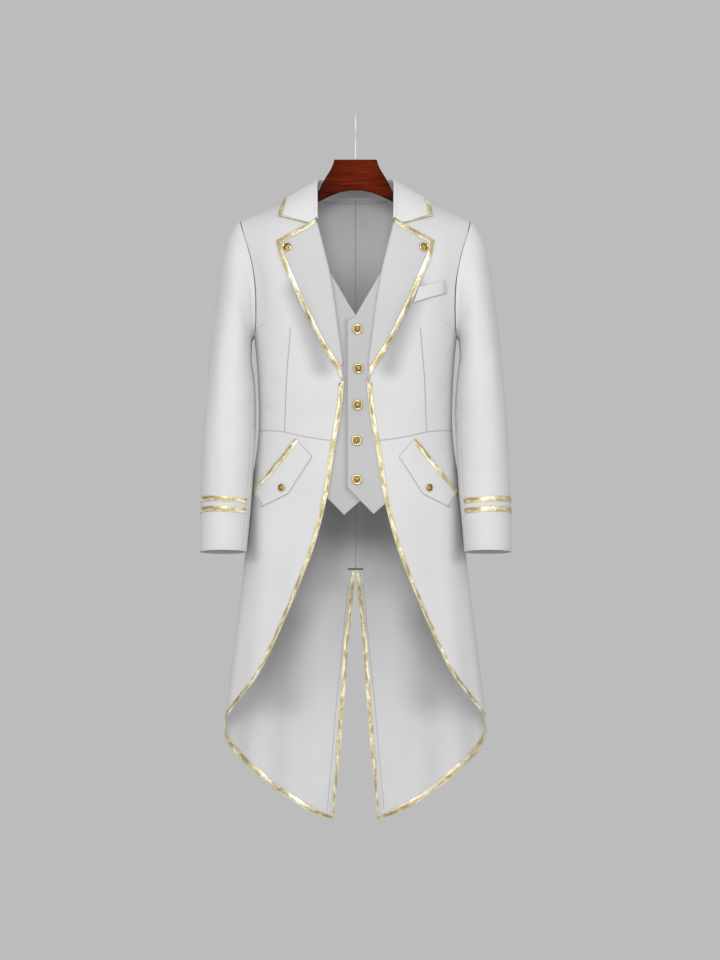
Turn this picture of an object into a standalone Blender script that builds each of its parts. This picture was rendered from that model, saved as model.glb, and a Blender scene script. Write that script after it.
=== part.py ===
"""A Victorian tailcoat in grey-white twill with gold ribbon edges, hung on a wooden hanger.

Frame: metres, +Z up. The coat's front faces -Y and +X is the viewer's right. The origin is the inside
top of the hanger's hook. Every size and table below is in millimetres, with heights given as a drop
below the origin and widths as a distance across from the middle. Tables give the half at +X, and the
other half is its mirror.

The coat is cut like the real one, in pieces that lie edge to edge on one body surface. A place on that
surface is (turn, down): turn is the angle round the body from the middle of the front (0) to the middle
of the back (pi), and down is the length down the cloth from the shoulder line. A piece's lift is how far
its inner face stands off that surface.
"""
import math

import bpy
from mathutils import Matrix, Vector

MM = 0.001

# Cloth, ribbon and gaps.
CLOTH = 1.6
LIGHT_CLOTH = 1.4
COLLAR_CLOTH = 1.8
RIBBON_WIDTH = 9.0
RIBBON_THICK = 2.4
RIBBON_LIFT = -0.4
STRIPE_THICK = 1.0
SEAM_GAP = 0.4
EDGE_GAP = 0.5
MITRE_GAP = 1.3
GORGE_GAP = 2.8
FOOT_GAP = 0.7
LAID_LIFT = CLOTH + 1.1

# The figure's plan section at each drop: (drop, half width, depth to the front, depth to the back).
BODY = (
    (110, 232, 92, 90),
    (160, 232, 97, 97),
    (200, 229, 101, 103),
    (260, 215, 105, 108),
    (330, 197, 107, 110),
    (400, 181, 105, 108),
    (480, 174, 100, 101),
    (575, 173, 96, 95),
    (680, 187, 99, 110),
    (790, 197, 98, 116),
    (900, 210, 94, 114),
    (1000, 223, 90, 108),
    (1110, 236, 86, 102),
    (1290, 247, 84, 98),
)
HALF_WIDTH, FRONT_DEPTH, BACK_DEPTH = 1, 2, 3
SECTION_POWER = 2.3
SHOULDER_ROUND = 130.0

# Soft flutes in the hanging tails: they start at a drop and grow to full depth at the hem.
FLUTE_START, FLUTE_FULL = 700.0, 1250.0
FLUTE_DEPTH = 6.0
FLUTES_ROUND = 14.0

# The shoulder line falls evenly from the neck point to the sleeve head.
NECK_HALF, NECK_DROP = 75.0, 135.0
SHOULDER_SLOPE = 0.44
SHOULDER_HALF = 207.0
SIDE_TURN = math.radians(98)
# A rough half width of the coat, which turns a distance across the cloth into an angle of turn.
GIRTH_RADIUS = 190.0
CENTRE = SEAM_GAP / 2

# Lines of the cut: (across, drop).
BACK_NECK = ((CENTRE, 148), (30, 148.6), (52, 148.4), (66, 144.5), (75, 135))
FRONT_NECK = ((75, 135), (74, 150), (72, 172), (70, 194))
FRONT_ARMHOLE = ((207, 193.1), (199, 217), (191.5, 240), (184.5, 266), (179.5, 293), (176.8, 319),
                 (176, 354), (177, 385), (179.5, 400))
BACK_ARMHOLE = ((207, 193.1), (203.5, 215), (199, 240), (194, 270), (190, 300), (185, 340),
                (181.5, 380), (180.4, 400))
ROLL_LINE = ((70, 194), (65, 216), (56, 252), (47.5, 287), (38.5, 340), (31.5, 393), (25.5, 437), (21, 481))
LAPEL_EDGE = ((139, 234), (132.5, 261), (116.5, 300), (98.5, 343), (81, 378), (63.5, 412), (45.5, 442),
              (31.5, 463), (22.5, 484))
LAPEL_NOTCH = (84.7, 207.1)
FRONT_EDGE = ((20, 498), (26, 542), (37, 604), (51, 692), (72, 772), (99, 843), (133, 923), (167, 994),
              (194, 1033), (222, 1070), (231.4, 1084))
TAIL_HEM = ((232.6, 1127.6), (207.7, 1167), (175.5, 1200), (139, 1230), (103, 1255), (66, 1272), (39.6, 1281))
VENT_EDGE = ((39.6, 1281), (36.9, 1244), (27.7, 1153), (20.4, 1061), (12.5, 951), (4.8, 878), (CENTRE, 825))
WAIST_LINE = ((46, 587), (60, 585.5), (99, 579), (126, 572), (150, 569.5), (168, 569))
WAIST_SIDE_DROP = 569.0
UNDERARM_DROP = 403.0
SKIRT_FOOT_TURN = math.radians(91)

# The collar from the middle of the back (0) round to its front end (1). Its fold's top:
# (how far round, across, forward, drop).
COLLAR_FOLD = (
    (0.00, 0, -58, 113),
    (0.15, 25, -56.5, 113),
    (0.30, 47, -44, 113),
    (0.42, 62, -22, 113.5),
    (0.50, 69, 0, 115.5),
    (0.65, 71, 32, 127),
    (0.80, 70.5, 62, 151),
    (0.92, 70, 81, 176),
    (1.00, 69.5, 91, 191),
)
# The collar's outer edge where it lies on the coat: (how far round, across, drop, on the back?).
COLLAR_EDGE = (
    (0.00, 0, 172, True),
    (0.15, 33, 172, True),
    (0.30, 70, 169, True),
    (0.42, 110, 160, True),
    (0.50, 124, 157.2, False),
    (0.65, 128.5, 163, False),
    (0.80, 132.5, 174, False),
    (0.92, 135, 183, False),
    (1.00, 136, 189, False),
)
COLLAR_LIFT = 4.2
FOLD_HALF = 1.6
NOTCH_SHARE = 0.26
# The collar's end curves down to the notch over this last part of its length.
END_CURVE_START = 0.78
# Where the cloth and the end ribbon's inner edge lie, in shares round the neck.
CLOTH_END_SHARE = 0.955
RIBBON_END_SHARE = 0.96
NECK_CENTRE = 8.0

# The lapel's lift off the front: (distance out from the roll line, lift). It turns round the front's edge.
LAPEL_ROLL = ((0, 0), (0, 1.9), (0.9, 2.8), (6, 4.2))
LAPEL_LIFT = 2.8
LAPEL_PUFF = 1.2
# The lapel's top edge bends down by this much at the notch, this far out from the roll line.
NOTCH_BEND = 3.4
NOTCH_REACH = 19.0

# Sleeve rings below the armhole: (outer across, outer drop, inner across, inner drop, half depth,
# forward, bow towards the body at the front and back).
SLEEVE = (
    (215, 197.5, 186, 409, 60, 1, 13),
    (222, 209, 187, 418, 63, 2, 11),
    (230, 229, 187.5, 428, 66, 3, 8),
    (238, 263, 187, 440, 69, 4, 5),
    (245.5, 305, 185.5, 455, 70, 5, 3),
    (252, 352, 182.5, 474, 69.5, 7, 1),
    (258, 402, 180, 498, 68, 10, 0),
    (263.5, 455, 179, 526, 66, 14, 0),
    (268, 508, 179, 557, 63, 19, 0),
    (271.5, 561, 180, 590, 60, 26, 0),
    (274, 616, 181.5, 631, 57, 34, 0),
    (276, 672, 184.5, 679, 53, 43, 0),
    (277, 730, 189, 732, 49, 52, 0),
    (277, 785, 193.5, 785, 45, 61, 0),
)
CUFF_TILT = 0.11
BACK_BOW_SHARE = 0.45
TILT_START_RING = 6
FRONT_SLEEVE_SEAM = math.radians(148)
HIND_SLEEVE_SEAM = math.radians(-120)
SLEEVE_RISE = CLOTH + 0.6
SLEEVE_PROUD = 1.6
SLEEVE_SEAM_HALF = 0.011
# The cuff's two ribbon stripes, as places between the sleeve's rings.
CUFF_STRIPES = ((12.26, 12.44), (12.58, 12.76))

# The waistcoat fronts: (across, top drop, hem drop), from the front edge to the line sewn in the coat.
WAISTCOAT_OVER = ((-14.4, 377, 670), (0, 367.5, 685), (16, 340, 701), (32, 313, 717.4), (48.7, 284.5, 702.6),
                  (64, 258.5, 689), (80, 231, 675))
WAISTCOAT_UNDER = ((-14.4, 377, 689), (-3, 369, 698.5), (9, 352, 709), (20.1, 333, 718.8), (35, 308, 703.5),
                   (57, 270.5, 682), (80, 231, 660))
OVER_LIFT = -1.0 - LIGHT_CLOTH
UNDER_LIFT = OVER_LIFT - 0.6 - LIGHT_CLOTH
WAISTCOAT_ROWS = 11

# The pocket flap's corners, from its sewn line to its free edge, and the breast welt's corners.
FLAP_SEAM = ((105.7, 582.7), (177.6, 676.6))
FLAP_FREE = ((76.3, 615.8), (119.1, 681.4), (164, 704.7), (176.2, 684.5))
WELT_TOP = ((111, 315.3), (157.6, 303.2))
WELT_FOOT = ((102.3, 343.8), (161, 325.3))

# Buttons: (across, drop), and a turned profile of (radius, height) shares.
WAISTCOAT_BUTTONS = ((3.3, 391), (5.1, 460.4), (4, 524.7), (1.9, 587.3), (2.8, 656.1))
LAPEL_BUTTON = (119, 246.5)
FLAP_BUTTON = (128.6, 670.5)
BUTTON_PROFILE = ((0, 0.80), (0.55, 0.78), (0.70, 1.0), (0.90, 0.85), (1.0, 0.45), (0.88, 0), (0, 0))
BUTTON_STEPS = 14

# The hanger: the outline's right half, as (across, drop), from the flat top down and back to the middle.
HANGER_TOP = 81.0
HANGER_NECK = ((38, 81), (41, 91), (46, 101), (53, 112), (60, 124), (66, 137.5))
HANGER_ARM_START, HANGER_ARM_END = 80.0, 203.0
HANGER_UNDER_CLOTH = 2.2
HANGER_TIP_UNDER_CLOTH = 4.4
HANGER_NOSE = ((205, 199), (205, 206), (201, 211))
HANGER_FOOT = ((140, 187), (100, 170.5), (70, 157.5), (47, 146), (29, 139), (12, 135.5))
HANGER_THICK = 18.0
HANGER_BEVEL = 2.0
HOOK_WIRE = 1.75
HOOK_BEND = 20.0 + HOOK_WIRE

# How finely each piece is divided.
OUTLINE_STEPS = 36
VENT_STEPS = 11
PANEL_COLUMNS = 9
NECK_COLUMNS = 4
ROLL_STEPS = 12
FRONT_ARMHOLE_STEPS = 10
BACK_ARMHOLE_STEPS = 8
BACK_SEAM_STEPS = 14
LAPEL_ROWS = 13
LAPEL_COLUMNS = 4
COLLAR_STEPS = 16
LEAF_STEPS = 3
COLLAR_END_STEPS = 3
TOP_SLEEVE_STEPS = 13
UNDER_SLEEVE_STEPS = 5
HANGER_ARM_STEPS = 8

SIDES = (("right", 1), ("left", -1))


# Smooth lines through tables.

def between(before, start, end, after, share):
    """A Catmull-Rom step from start to end; the four may be numbers or vectors."""
    leave = (end - before) * 0.5
    arrive = (after - start) * 0.5
    square, cube = share ** 2, share ** 3
    step = start * (2 * cube - 3 * square + 1) + end * (3 * square - 2 * cube)
    return step + leave * (cube - 2 * square + share) + arrive * (cube - square)


def along(values, spot):
    """The smooth value at a spot counted in rows of a list, from 0 to its last row."""
    last = len(values) - 1
    row = min(int(spot), last - 1)
    start, end = values[row], values[row + 1]
    before = values[row - 1] if row > 0 else start * 2 - end
    after = values[row + 2] if row + 2 <= last else end * 2 - start
    return between(before, start, end, after, spot - row)


def row_of(table, key):
    """Where a key falls in a table whose first column rises, counted in rows."""
    last = len(table) - 1
    for row in range(last):
        if key < table[row + 1][0]:
            return max((key - table[row][0]) / (table[row + 1][0] - table[row][0]), 0) + row
    return float(last)


def column(table, key, index):
    """A column's smooth value at a key."""
    return along([row[index] for row in table], row_of(table, key))


def spread(points, count, stretch=(1, 1, 1)):
    """count + 1 points, evenly apart, on the smooth line through some points."""
    points = [Vector(p).to_3d() for p in points]
    fine = [along(points, i / 12) for i in range(12 * (len(points) - 1))] + [points[-1]]
    scale = Vector(stretch)
    lengths = [0.0]
    for a, b in zip(fine, fine[1:]):
        lengths.append(lengths[-1] + ((b - a) * scale).length)
    even, row = [], 0
    for i in range(count + 1):
        goal = lengths[-1] * i / count
        while row < len(fine) - 2 and lengths[row + 1] < goal:
            row += 1
        span = max(lengths[row + 1] - lengths[row], 1e-9)
        even.append(fine[row].lerp(fine[row + 1], min((goal - lengths[row]) / span, 1)))
    return even


def ease(share):
    share = min(max(share, 0), 1)
    return share * share * (3 - 2 * share)


# The body surface that the coat is cut on.

def shoulder_drop(across):
    """The drop of the shoulder line; it levels off smoothly inside the neck."""
    across = abs(across)
    if across > NECK_HALF:
        return NECK_DROP + SHOULDER_SLOPE * (across - NECK_HALF)
    return NECK_DROP - SHOULDER_SLOPE * (NECK_HALF ** 2 - across ** 2) / (2 * NECK_HALF)


def fall(down):
    """How far below the shoulder line a length down the rounded shoulder reaches."""
    turned = min(abs(down) / SHOULDER_ROUND, math.pi / 2)
    return SHOULDER_ROUND * (1 - math.cos(turned)) + abs(down) - SHOULDER_ROUND * turned


def down_for(drop_below):
    """The length down the cloth that falls this far below the shoulder line."""
    if drop_below <= 0:
        return 0.0
    if drop_below < SHOULDER_ROUND:
        return SHOULDER_ROUND * math.acos(1 - drop_below / SHOULDER_ROUND)
    return drop_below + SHOULDER_ROUND * (math.pi / 2 - 1)


def place(across, drop, back=False):
    """The (turn, down) place seen at a width and a drop on the front or the back."""
    share = min(abs(across) / column(BODY, drop, HALF_WIDTH), 1)
    turn = math.asin(share ** (SECTION_POWER / 2))
    turn = math.pi - turn if back else turn
    return Vector((math.copysign(turn, across), down_for(drop - shoulder_drop(across)), 0))


def side_place(turn, drop):
    """The place at a turn near the side and a drop."""
    across = column(BODY, drop, HALF_WIDTH) * math.sin(turn) ** (2 / SECTION_POWER)
    return Vector((turn, down_for(drop - shoulder_drop(across)), 0))


def surface(at):
    """The point of the body surface at a place, at +X for a positive turn."""
    turn, down = at[0], at[1]
    sine, cosine = math.sin(turn), math.cos(turn)
    out = math.copysign(abs(sine) ** (2 / SECTION_POWER), sine)
    depth = abs(cosine) ** (2 / SECTION_POWER) * math.sin(min(down / SHOULDER_ROUND, math.pi / 2))
    drop = NECK_DROP + fall(down)
    for _ in range(6):
        across = column(BODY, drop, HALF_WIDTH) * out
        drop = shoulder_drop(across) + fall(down)
    flute = FLUTE_DEPTH * ease((drop - FLUTE_START) / (FLUTE_FULL - FLUTE_START))
    flute *= math.cos(FLUTES_ROUND * turn) * abs(cosine)
    if cosine > 0:
        return Vector((across, -column(BODY, drop, FRONT_DEPTH) * depth - flute, -drop))
    return Vector((across, column(BODY, drop, BACK_DEPTH) * depth + flute, -drop))


def slopes(at):
    """The surface's change for one radian of turn and for one millimetre down."""
    step_turn, step_down = 0.01, 1.0
    turn, down = at[0], at[1]
    round_it = surface((turn + step_turn, down)) - surface((turn - step_turn, down))
    down_it = surface((turn, down + step_down)) - surface((turn, down - step_down))
    return round_it / (2 * step_turn), down_it / (2 * step_down)


def outward(at):
    round_it, down_it = slopes(at)
    return down_it.cross(round_it).normalized()


def lifted(at, lift):
    return surface(at) + outward(at) * lift


def inset(line, width):
    """The line of places moved to its left by a width, measured on the cloth, with mitred corners."""
    moved = []
    for i, at in enumerate(line):
        round_it, down_it = slopes(at)
        scale = Vector((round_it.length, down_it.length, 1))
        normals = []
        for a, b in ((i - 1, i), (i, i + 1)):
            if a >= 0 and b < len(line):
                way = ((line[b] - line[a]) * scale).normalized()
                normals.append(Vector((way.y, -way.x, 0)))
        if len(normals) == 2:
            both = normals[0] + normals[1]
            push = both / (1 + normals[0].dot(normals[1]))
        else:
            push = normals[0]
        moved.append(at + Vector((push.x / scale.x, push.y / scale.y, 0)) * width)
    return moved


def patch(top, foot, left, right):
    """Rows of places that fill four edges with shared corners (a Coons patch)."""
    wide, high = len(top) - 1, len(left) - 1
    rows = []
    for j in range(high + 1):
        v = j / high
        row = []
        for i in range(wide + 1):
            u = i / wide
            ruled = top[i].lerp(foot[i], v) + left[j].lerp(right[j], u)
            corners = top[0].lerp(top[-1], u).lerp(foot[0].lerp(foot[-1], u), v)
            row.append(ruled - corners)
        rows.append(row)
    return rows


def edge(*pieces):
    """Places along a line made of smooth pieces, each (places, count), which meet at corners."""
    line = []
    for points, count in pieces:
        line += spread(points, count, (GIRTH_RADIUS, 1, 1))[1 if line else 0:]
    return line


def places(points, back=False):
    return [place(across, drop, back) for across, drop in points]


# Blender objects.

def material(name, colour, roughness, metallic=0.0):
    made = bpy.data.materials.new(name)
    made.use_nodes = True
    shader = made.node_tree.nodes["Principled BSDF"]
    shader.inputs["Base Color"].default_value = (*colour, 1)
    shader.inputs["Roughness"].default_value = roughness
    shader.inputs["Metallic"].default_value = metallic
    return made


def add_object(name, data, look):
    made = bpy.data.objects.new(name, data)
    data.materials.append(look)
    COAT.objects.link(made)
    return made


def sheet(name, rows, thick, look, side=1, even=True):
    """A wall on rows of points in millimetres, thickened outward; side -1 mirrors it."""
    points = [Vector((p.x * side, p.y, p.z)) * MM for row in rows for p in row]
    wide = len(rows[0])
    faces = []
    for j in range(len(rows) - 1):
        for i in range(wide - 1):
            corner = j * wide + i
            face = (corner, corner + wide, corner + wide + 1, corner + 1)
            faces.append(face if side > 0 else face[::-1])
    mesh = bpy.data.meshes.new(name)
    mesh.from_pydata(points, [], faces)
    mesh.validate()
    made = add_object(name, mesh, look)
    mesh.shade_smooth()
    wall = made.modifiers.new("cloth", "SOLIDIFY")
    wall.thickness = thick * MM
    wall.offset = 1
    wall.use_even_offset = even
    return made


def laid(rows, lift, back_shift=0.0):
    """Rows of places as points, lifted off the body and shifted towards the back."""
    shift = Vector((0, back_shift, 0))
    return [[lifted(at, lift) + shift for at in row] for row in rows]


# The outline of the coat's open edges: front edge, tail hem, then up the vent.

def outline():
    """The three runs of the open edge as places, and how many points each has."""
    front = places(FRONT_EDGE)
    side = [side_place(math.pi / 2, 1106)]
    hem = places(TAIL_HEM, back=True)
    vent = places(VENT_EDGE, back=True)
    return edge((front + side + hem, OUTLINE_STEPS), (vent, VENT_STEPS))


def cut_at_turn(line, turn):
    """The part of a line before a turn and the part after it, which share the place there."""
    for i, (a, b) in enumerate(zip(line, line[1:])):
        if a.x < turn <= b.x:
            meet = a.lerp(b, (turn - a.x) / (b.x - a.x))
            return line[:i + 1] + [meet], [meet] + line[i + 1:]
    raise ValueError("the line doesn't reach this turn")


def cut_at_drop(line, drop):
    """The part of a line above a drop and the part below it, which share the place there."""
    for i, (a, b) in enumerate(zip(line, line[1:])):
        high, low = -surface(a).z, -surface(b).z
        if high < drop <= low:
            meet = a.lerp(b, (drop - high) / (low - high))
            return line[:i + 1] + [meet], [meet] + line[i + 1:]
    raise ValueError("the line doesn't reach this drop")


def waist(first, drop_shift):
    """The waist seam as places from the front edge to the side seam."""
    line = [first] + [place(across, drop + drop_shift) for across, drop in WAIST_LINE[1:]]
    return line + [side_place(SIDE_TURN, WAIST_SIDE_DROP + drop_shift)]


def make_fronts(panel_edge, side_name, side):
    above, _ = cut_at_drop(panel_edge, WAIST_LINE[0][1] - CENTRE)
    roll = [at + Vector((EDGE_GAP / GIRTH_RADIUS, 0, 0)) for at in places(ROLL_LINE)]
    left = edge((places(FRONT_NECK), NECK_COLUMNS), (roll, ROLL_STEPS)) + above
    side_seam = [side_place(SIDE_TURN, drop) for drop in (UNDERARM_DROP, 460, 515, WAIST_SIDE_DROP - CENTRE)]
    right = edge((places(FRONT_ARMHOLE), FRONT_ARMHOLE_STEPS), ([place(*FRONT_ARMHOLE[-1]), side_seam[0]], 1),
                 (side_seam, len(left) - 2 - FRONT_ARMHOLE_STEPS))
    top = edge(([place(75, 135), place(SHOULDER_HALF, FRONT_ARMHOLE[0][1])], PANEL_COLUMNS))
    foot = edge((waist(left[-1], -CENTRE), PANEL_COLUMNS))
    rows = patch(top, foot, left, right)
    sheet("front_" + side_name, laid(rows, 0, -CENTRE), CLOTH, TWILL, side)


def make_skirts(panel_edge, side_name, side):
    _, below = cut_at_drop(panel_edge, WAIST_LINE[0][1] + CENTRE)
    below, _ = cut_at_turn(below, SIDE_TURN)
    free, foot_line = cut_at_turn(below, SKIRT_FOOT_TURN)
    low = -surface(foot_line[-1]).z
    high = WAIST_SIDE_DROP + CENTRE
    left = free
    right = edge(([side_place(SIDE_TURN, high + (low - high) * i / 8) for i in range(9)], len(left) - 1))
    top = edge((waist(left[0], CENTRE), PANEL_COLUMNS))
    foot = edge((foot_line, PANEL_COLUMNS))
    rows = patch(top, foot, left, right)
    sheet("skirt_" + side_name, laid(rows, 0, -CENTRE), CLOTH, TWILL, side)


def make_backs(panel_edge, side_name, side):
    _, hem_line = cut_at_turn(panel_edge[:OUTLINE_STEPS + 1], SIDE_TURN)
    vent_line = panel_edge[OUTLINE_STEPS:]
    vent_line.reverse()
    hem_line.reverse()
    low = -surface(hem_line[-1]).z
    seam = [place(CENTRE, drop, True) for drop in (148, 260, 370, 480, 590, 700, 822)]
    left = edge((seam, BACK_SEAM_STEPS)) + vent_line
    side_seam = [side_place(SIDE_TURN, UNDERARM_DROP + (low - UNDERARM_DROP) * i / 12) for i in range(13)]
    right = edge((places(BACK_ARMHOLE, True), BACK_ARMHOLE_STEPS),
                 ([place(*BACK_ARMHOLE[-1], True), side_seam[0]], 1),
                 (side_seam, len(left) - 2 - BACK_ARMHOLE_STEPS))
    shoulder = [place(75, 135, True), place(SHOULDER_HALF, BACK_ARMHOLE[0][1], True)]
    top = edge((places(BACK_NECK, True), NECK_COLUMNS), (shoulder, len(hem_line) - 1 - NECK_COLUMNS))
    foot = hem_line
    rows = patch(top, foot, left, right)
    flipped = [row[::-1] for row in rows]
    sheet("back_" + side_name, laid(flipped, 0, CENTRE), CLOTH, TWILL, side)


def make_edge_ribbons(open_edge, side_name, side):
    """The ribbon down the front edge and round the hem, and the one up the vent, mitred at the tail."""
    inner = inset(open_edge, RIBBON_WIDTH)
    pairs = laid(zip(open_edge, inner), RIBBON_LIFT)
    sheet("front_ribbon_" + side_name, pairs[:OUTLINE_STEPS + 1], RIBBON_THICK, GOLD, side)
    vent_pairs = pairs[OUTLINE_STEPS:]
    share = MITRE_GAP / (vent_pairs[1][0] - vent_pairs[0][0]).length
    vent_pairs[0] = [a.lerp(b, share) for a, b in zip(vent_pairs[0], vent_pairs[1])]
    sheet("vent_ribbon_" + side_name, vent_pairs, RIBBON_THICK, GOLD, side)


# The lapel.

def lapel_lines():
    roll = spread(ROLL_LINE, LAPEL_ROWS)
    free = spread(LAPEL_EDGE, LAPEL_ROWS)
    return roll, free


def lapel_point(line_share, out, roll, free, extra=0.0):
    """A point of the lapel's under face, at a share down the roll line and a distance out from it."""
    index = line_share * LAPEL_ROWS
    start, end = along(roll, index), along(free, index)
    width = (end - start).length
    share = out / width
    seen = start.lerp(end, share)
    bend = NOTCH_BEND * max(1 - line_share * 5, 0)
    notch = NOTCH_REACH / width
    seen.y += bend * (share / notch if share < notch else max(1 - share, 0) / (1 - notch))
    lift = LAPEL_LIFT + LAPEL_PUFF * math.sin(math.pi * min(max(share, 0), 1)) * (1 - line_share)
    for (near, low), (far, high) in zip(LAPEL_ROLL, LAPEL_ROLL[1:]):
        if near <= out < far:
            lift = min(lift, low + (high - low) * (out - near) / (far - near))
    return lifted(place(seen.x, seen.y), lift + extra)


def make_lapels(side_name, side):
    roll, free = lapel_lines()
    widths = [(b - a).length for a, b in zip(roll, free)]
    top_share = RIBBON_WIDTH / (roll[1] - roll[0]).length / LAPEL_ROWS
    last = max(i for i, width in enumerate(widths) if width > RIBBON_WIDTH + 6)
    first = top_share + EDGE_GAP / 300
    shares = [first] + [i / LAPEL_ROWS for i in range(1, last + 1) if i / LAPEL_ROWS > first + 0.02]
    rows = []
    for share in shares:
        width = (along(free, share * LAPEL_ROWS) - along(roll, share * LAPEL_ROWS)).length
        reach = width - RIBBON_WIDTH - EDGE_GAP
        inner = 6.0 if reach > 14 else reach * 0.4
        outs = [inner + (reach - inner) * i / LAPEL_COLUMNS for i in range(LAPEL_COLUMNS + 1)]
        row = [lapel_point(share, out, roll, free) for out in outs]
        fold = along(roll, share * LAPEL_ROWS)
        root = lifted(place(fold.x, fold.y), 0)
        rise = lifted(place(fold.x, fold.y), LAPEL_ROLL[1][1])
        turn_over = lapel_point(share, LAPEL_ROLL[2][0], roll, free)
        rows.append([root, rise, turn_over] + row)
    sheet("lapel_" + side_name, rows, CLOTH, TWILL, side)

    pairs = []
    steps = LAPEL_COLUMNS + 1
    tip_width = widths[0] - RIBBON_WIDTH
    for i in range(steps + 1):
        out = 1.0 + (tip_width - 1.0) * i / steps
        outer_out = out if i < steps else widths[0]
        pairs.append([lapel_point(0, outer_out, roll, free), lapel_point(top_share, out, roll, free)])
    shares = [i / LAPEL_ROWS for i in range(1, LAPEL_ROWS)]
    for share in shares:
        if share <= top_share + 0.01:
            continue
        width = (along(free, share * LAPEL_ROWS) - along(roll, share * LAPEL_ROWS)).length
        inner_out = max(width - RIBBON_WIDTH, 0.4 * width if width < 8 else 1.0)
        pairs.append([lapel_point(share, width, roll, free), lapel_point(share, inner_out, roll, free)])
    sheet("lapel_ribbon_" + side_name, [pair[::-1] for pair in pairs], RIBBON_THICK, GOLD, side)


# The collar.

def neck_line():
    """Points round the neck seam as the coat's own edges have them, from the middle of the back."""
    back = [surface(at) for at in edge((places(BACK_NECK, True), NECK_COLUMNS))]
    front = [surface(at) for at in edge((places(FRONT_NECK), NECK_COLUMNS))]
    return back + front[1:]


def collar_guides(far):
    """The fold's top and the free edge at a share round the neck."""
    fold = Vector((column(COLLAR_FOLD, far, 1), -column(COLLAR_FOLD, far, 2), -column(COLLAR_FOLD, far, 3)))
    return fold, along(EDGE_POINTS, row_of(COLLAR_EDGE, far))


def ribbon_stop(far):
    """The share from the fold to the free edge where the ribbon's inner edge lies."""
    fold, free = collar_guides(far)
    return 1 - RIBBON_WIDTH / (free - fold).length


def leaf_point(far, share):
    """A point of the collar leaf's under face, at a share from the fold to the free edge."""
    fold, free = collar_guides(far)
    way = Vector((free.x - fold.x, free.y - fold.y, 0)).normalized()
    start = fold + way * FOLD_HALF + Vector((0, 0, -COLLAR_CLOTH - FOLD_HALF))
    point = start.lerp(free, share)
    end_share = ease((far - END_CURVE_START) / (1 - END_CURVE_START))
    if end_share > 0:
        notch = lifted(place(*LAPEL_NOTCH), COLLAR_LIFT) + Vector((0, 0, GORGE_GAP))
        if share < NOTCH_SHARE:
            bent = start.lerp(notch, share / NOTCH_SHARE)
        else:
            bent = notch.lerp(free, (share - NOTCH_SHARE) / (1 - NOTCH_SHARE))
        point = point.lerp(bent, end_share)
    return clear_of_coat(point)


def clear_of_coat(point):
    """The point moved out where it would be nearer the coat than the collar's lift."""
    if -point.z < shoulder_drop(point.x) + 5:
        return point
    back = point.y > 0
    at = place(point.x, -point.z, back)
    face = outward(at)
    skin = surface(at).y + COLLAR_LIFT * math.copysign(1 / max(abs(face.y), 0.5), face.y)
    point.y = max(point.y, skin) if back else min(point.y, skin)
    return point


def collar_line(far, edge_share, foot_points):
    """The collar's line at one place round the neck, from a share of the leaf to the stand's foot."""
    fold, free = collar_guides(far)
    way = Vector((free.x - fold.x, free.y - fold.y, 0)).normalized()
    top = fold + Vector((0, 0, -COLLAR_CLOTH))
    stand_top = fold - way * FOLD_HALF + Vector((0, 0, -COLLAR_CLOTH - FOLD_HALF))
    step = min(int(far * (len(foot_points) - 1)), len(foot_points) - 2)
    foot = foot_points[step].lerp(foot_points[step + 1], far * (len(foot_points) - 1) - step)
    inward = Vector((-foot.x, -NECK_CENTRE - foot.y, 0)).normalized()
    foot = foot + inward * FOOT_GAP
    leaf = [leaf_point(far, edge_share * i / LEAF_STEPS) for i in range(LEAF_STEPS, -1, -1)]
    stand = [stand_top, stand_top.lerp(foot, 0.5), foot]
    return leaf + [top] + stand


def make_collar():
    foot_points = neck_line()
    fars = [CLOTH_END_SHARE * i / COLLAR_STEPS for i in range(COLLAR_STEPS + 1)]
    half = []
    for far in fars + [1]:
        fold, free = collar_guides(far)
        reach = 1 - (RIBBON_WIDTH + EDGE_GAP) / (free - fold).length
        half.append(collar_line(far, reach, foot_points))
    last = half.pop()
    inner = half[-1]
    steps = len(last)
    # Outside the notch the ribbon takes the collar's end, so the cloth stops short of it there.
    for i in range(steps):
        share = reach * (LEAF_STEPS - i) / LEAF_STEPS
        if i <= LEAF_STEPS and share > NOTCH_SHARE + 0.02:
            last[i] = inner[i].lerp(last[i], 0.12)
    half.append(last)
    mirrored = [[Vector((-p.x, p.y, p.z)) for p in line] for line in half[:0:-1]]
    lines = mirrored + half
    rows = [[line[i] for line in lines] for i in range(len(lines[0]))]
    sheet("collar", rows, COLLAR_CLOTH, TWILL)

    pairs = []
    for i in range(COLLAR_END_STEPS + 1):
        share = NOTCH_SHARE + (1 - NOTCH_SHARE) * i / COLLAR_END_STEPS
        within = leaf_point(RIBBON_END_SHARE, min(max(share, NOTCH_SHARE + 0.03), ribbon_stop(1)))
        pairs.append([leaf_point(1, share), within])
    for far in reversed(fars[:-1]):
        pairs.append([leaf_point(far, 1), leaf_point(far, ribbon_stop(far))])
    mirrored = [[Vector((-p.x, p.y, p.z)) for p in pair] for pair in pairs[-2::-1]]
    sheet("collar_ribbon", pairs + mirrored, RIBBON_THICK, GOLD)


# Sleeves.

def armhole_point(angle):
    """The sleeve's first ring: the armhole, just outside the coat's cloth."""
    back = math.sin(angle) < 0
    table = BACK_ARMHOLE if back else FRONT_ARMHOLE
    high, low = table[0][1], table[-1][1]
    drop = (high + low) / 2 - (low - high) / 2 * math.cos(angle)
    by_drop = [(row[1], row[0]) for row in table]
    at = place(column(by_drop, drop, 1), drop, back)
    return lifted(at, SLEEVE_RISE) + Vector((SLEEVE_PROUD, 0, 0))


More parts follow.
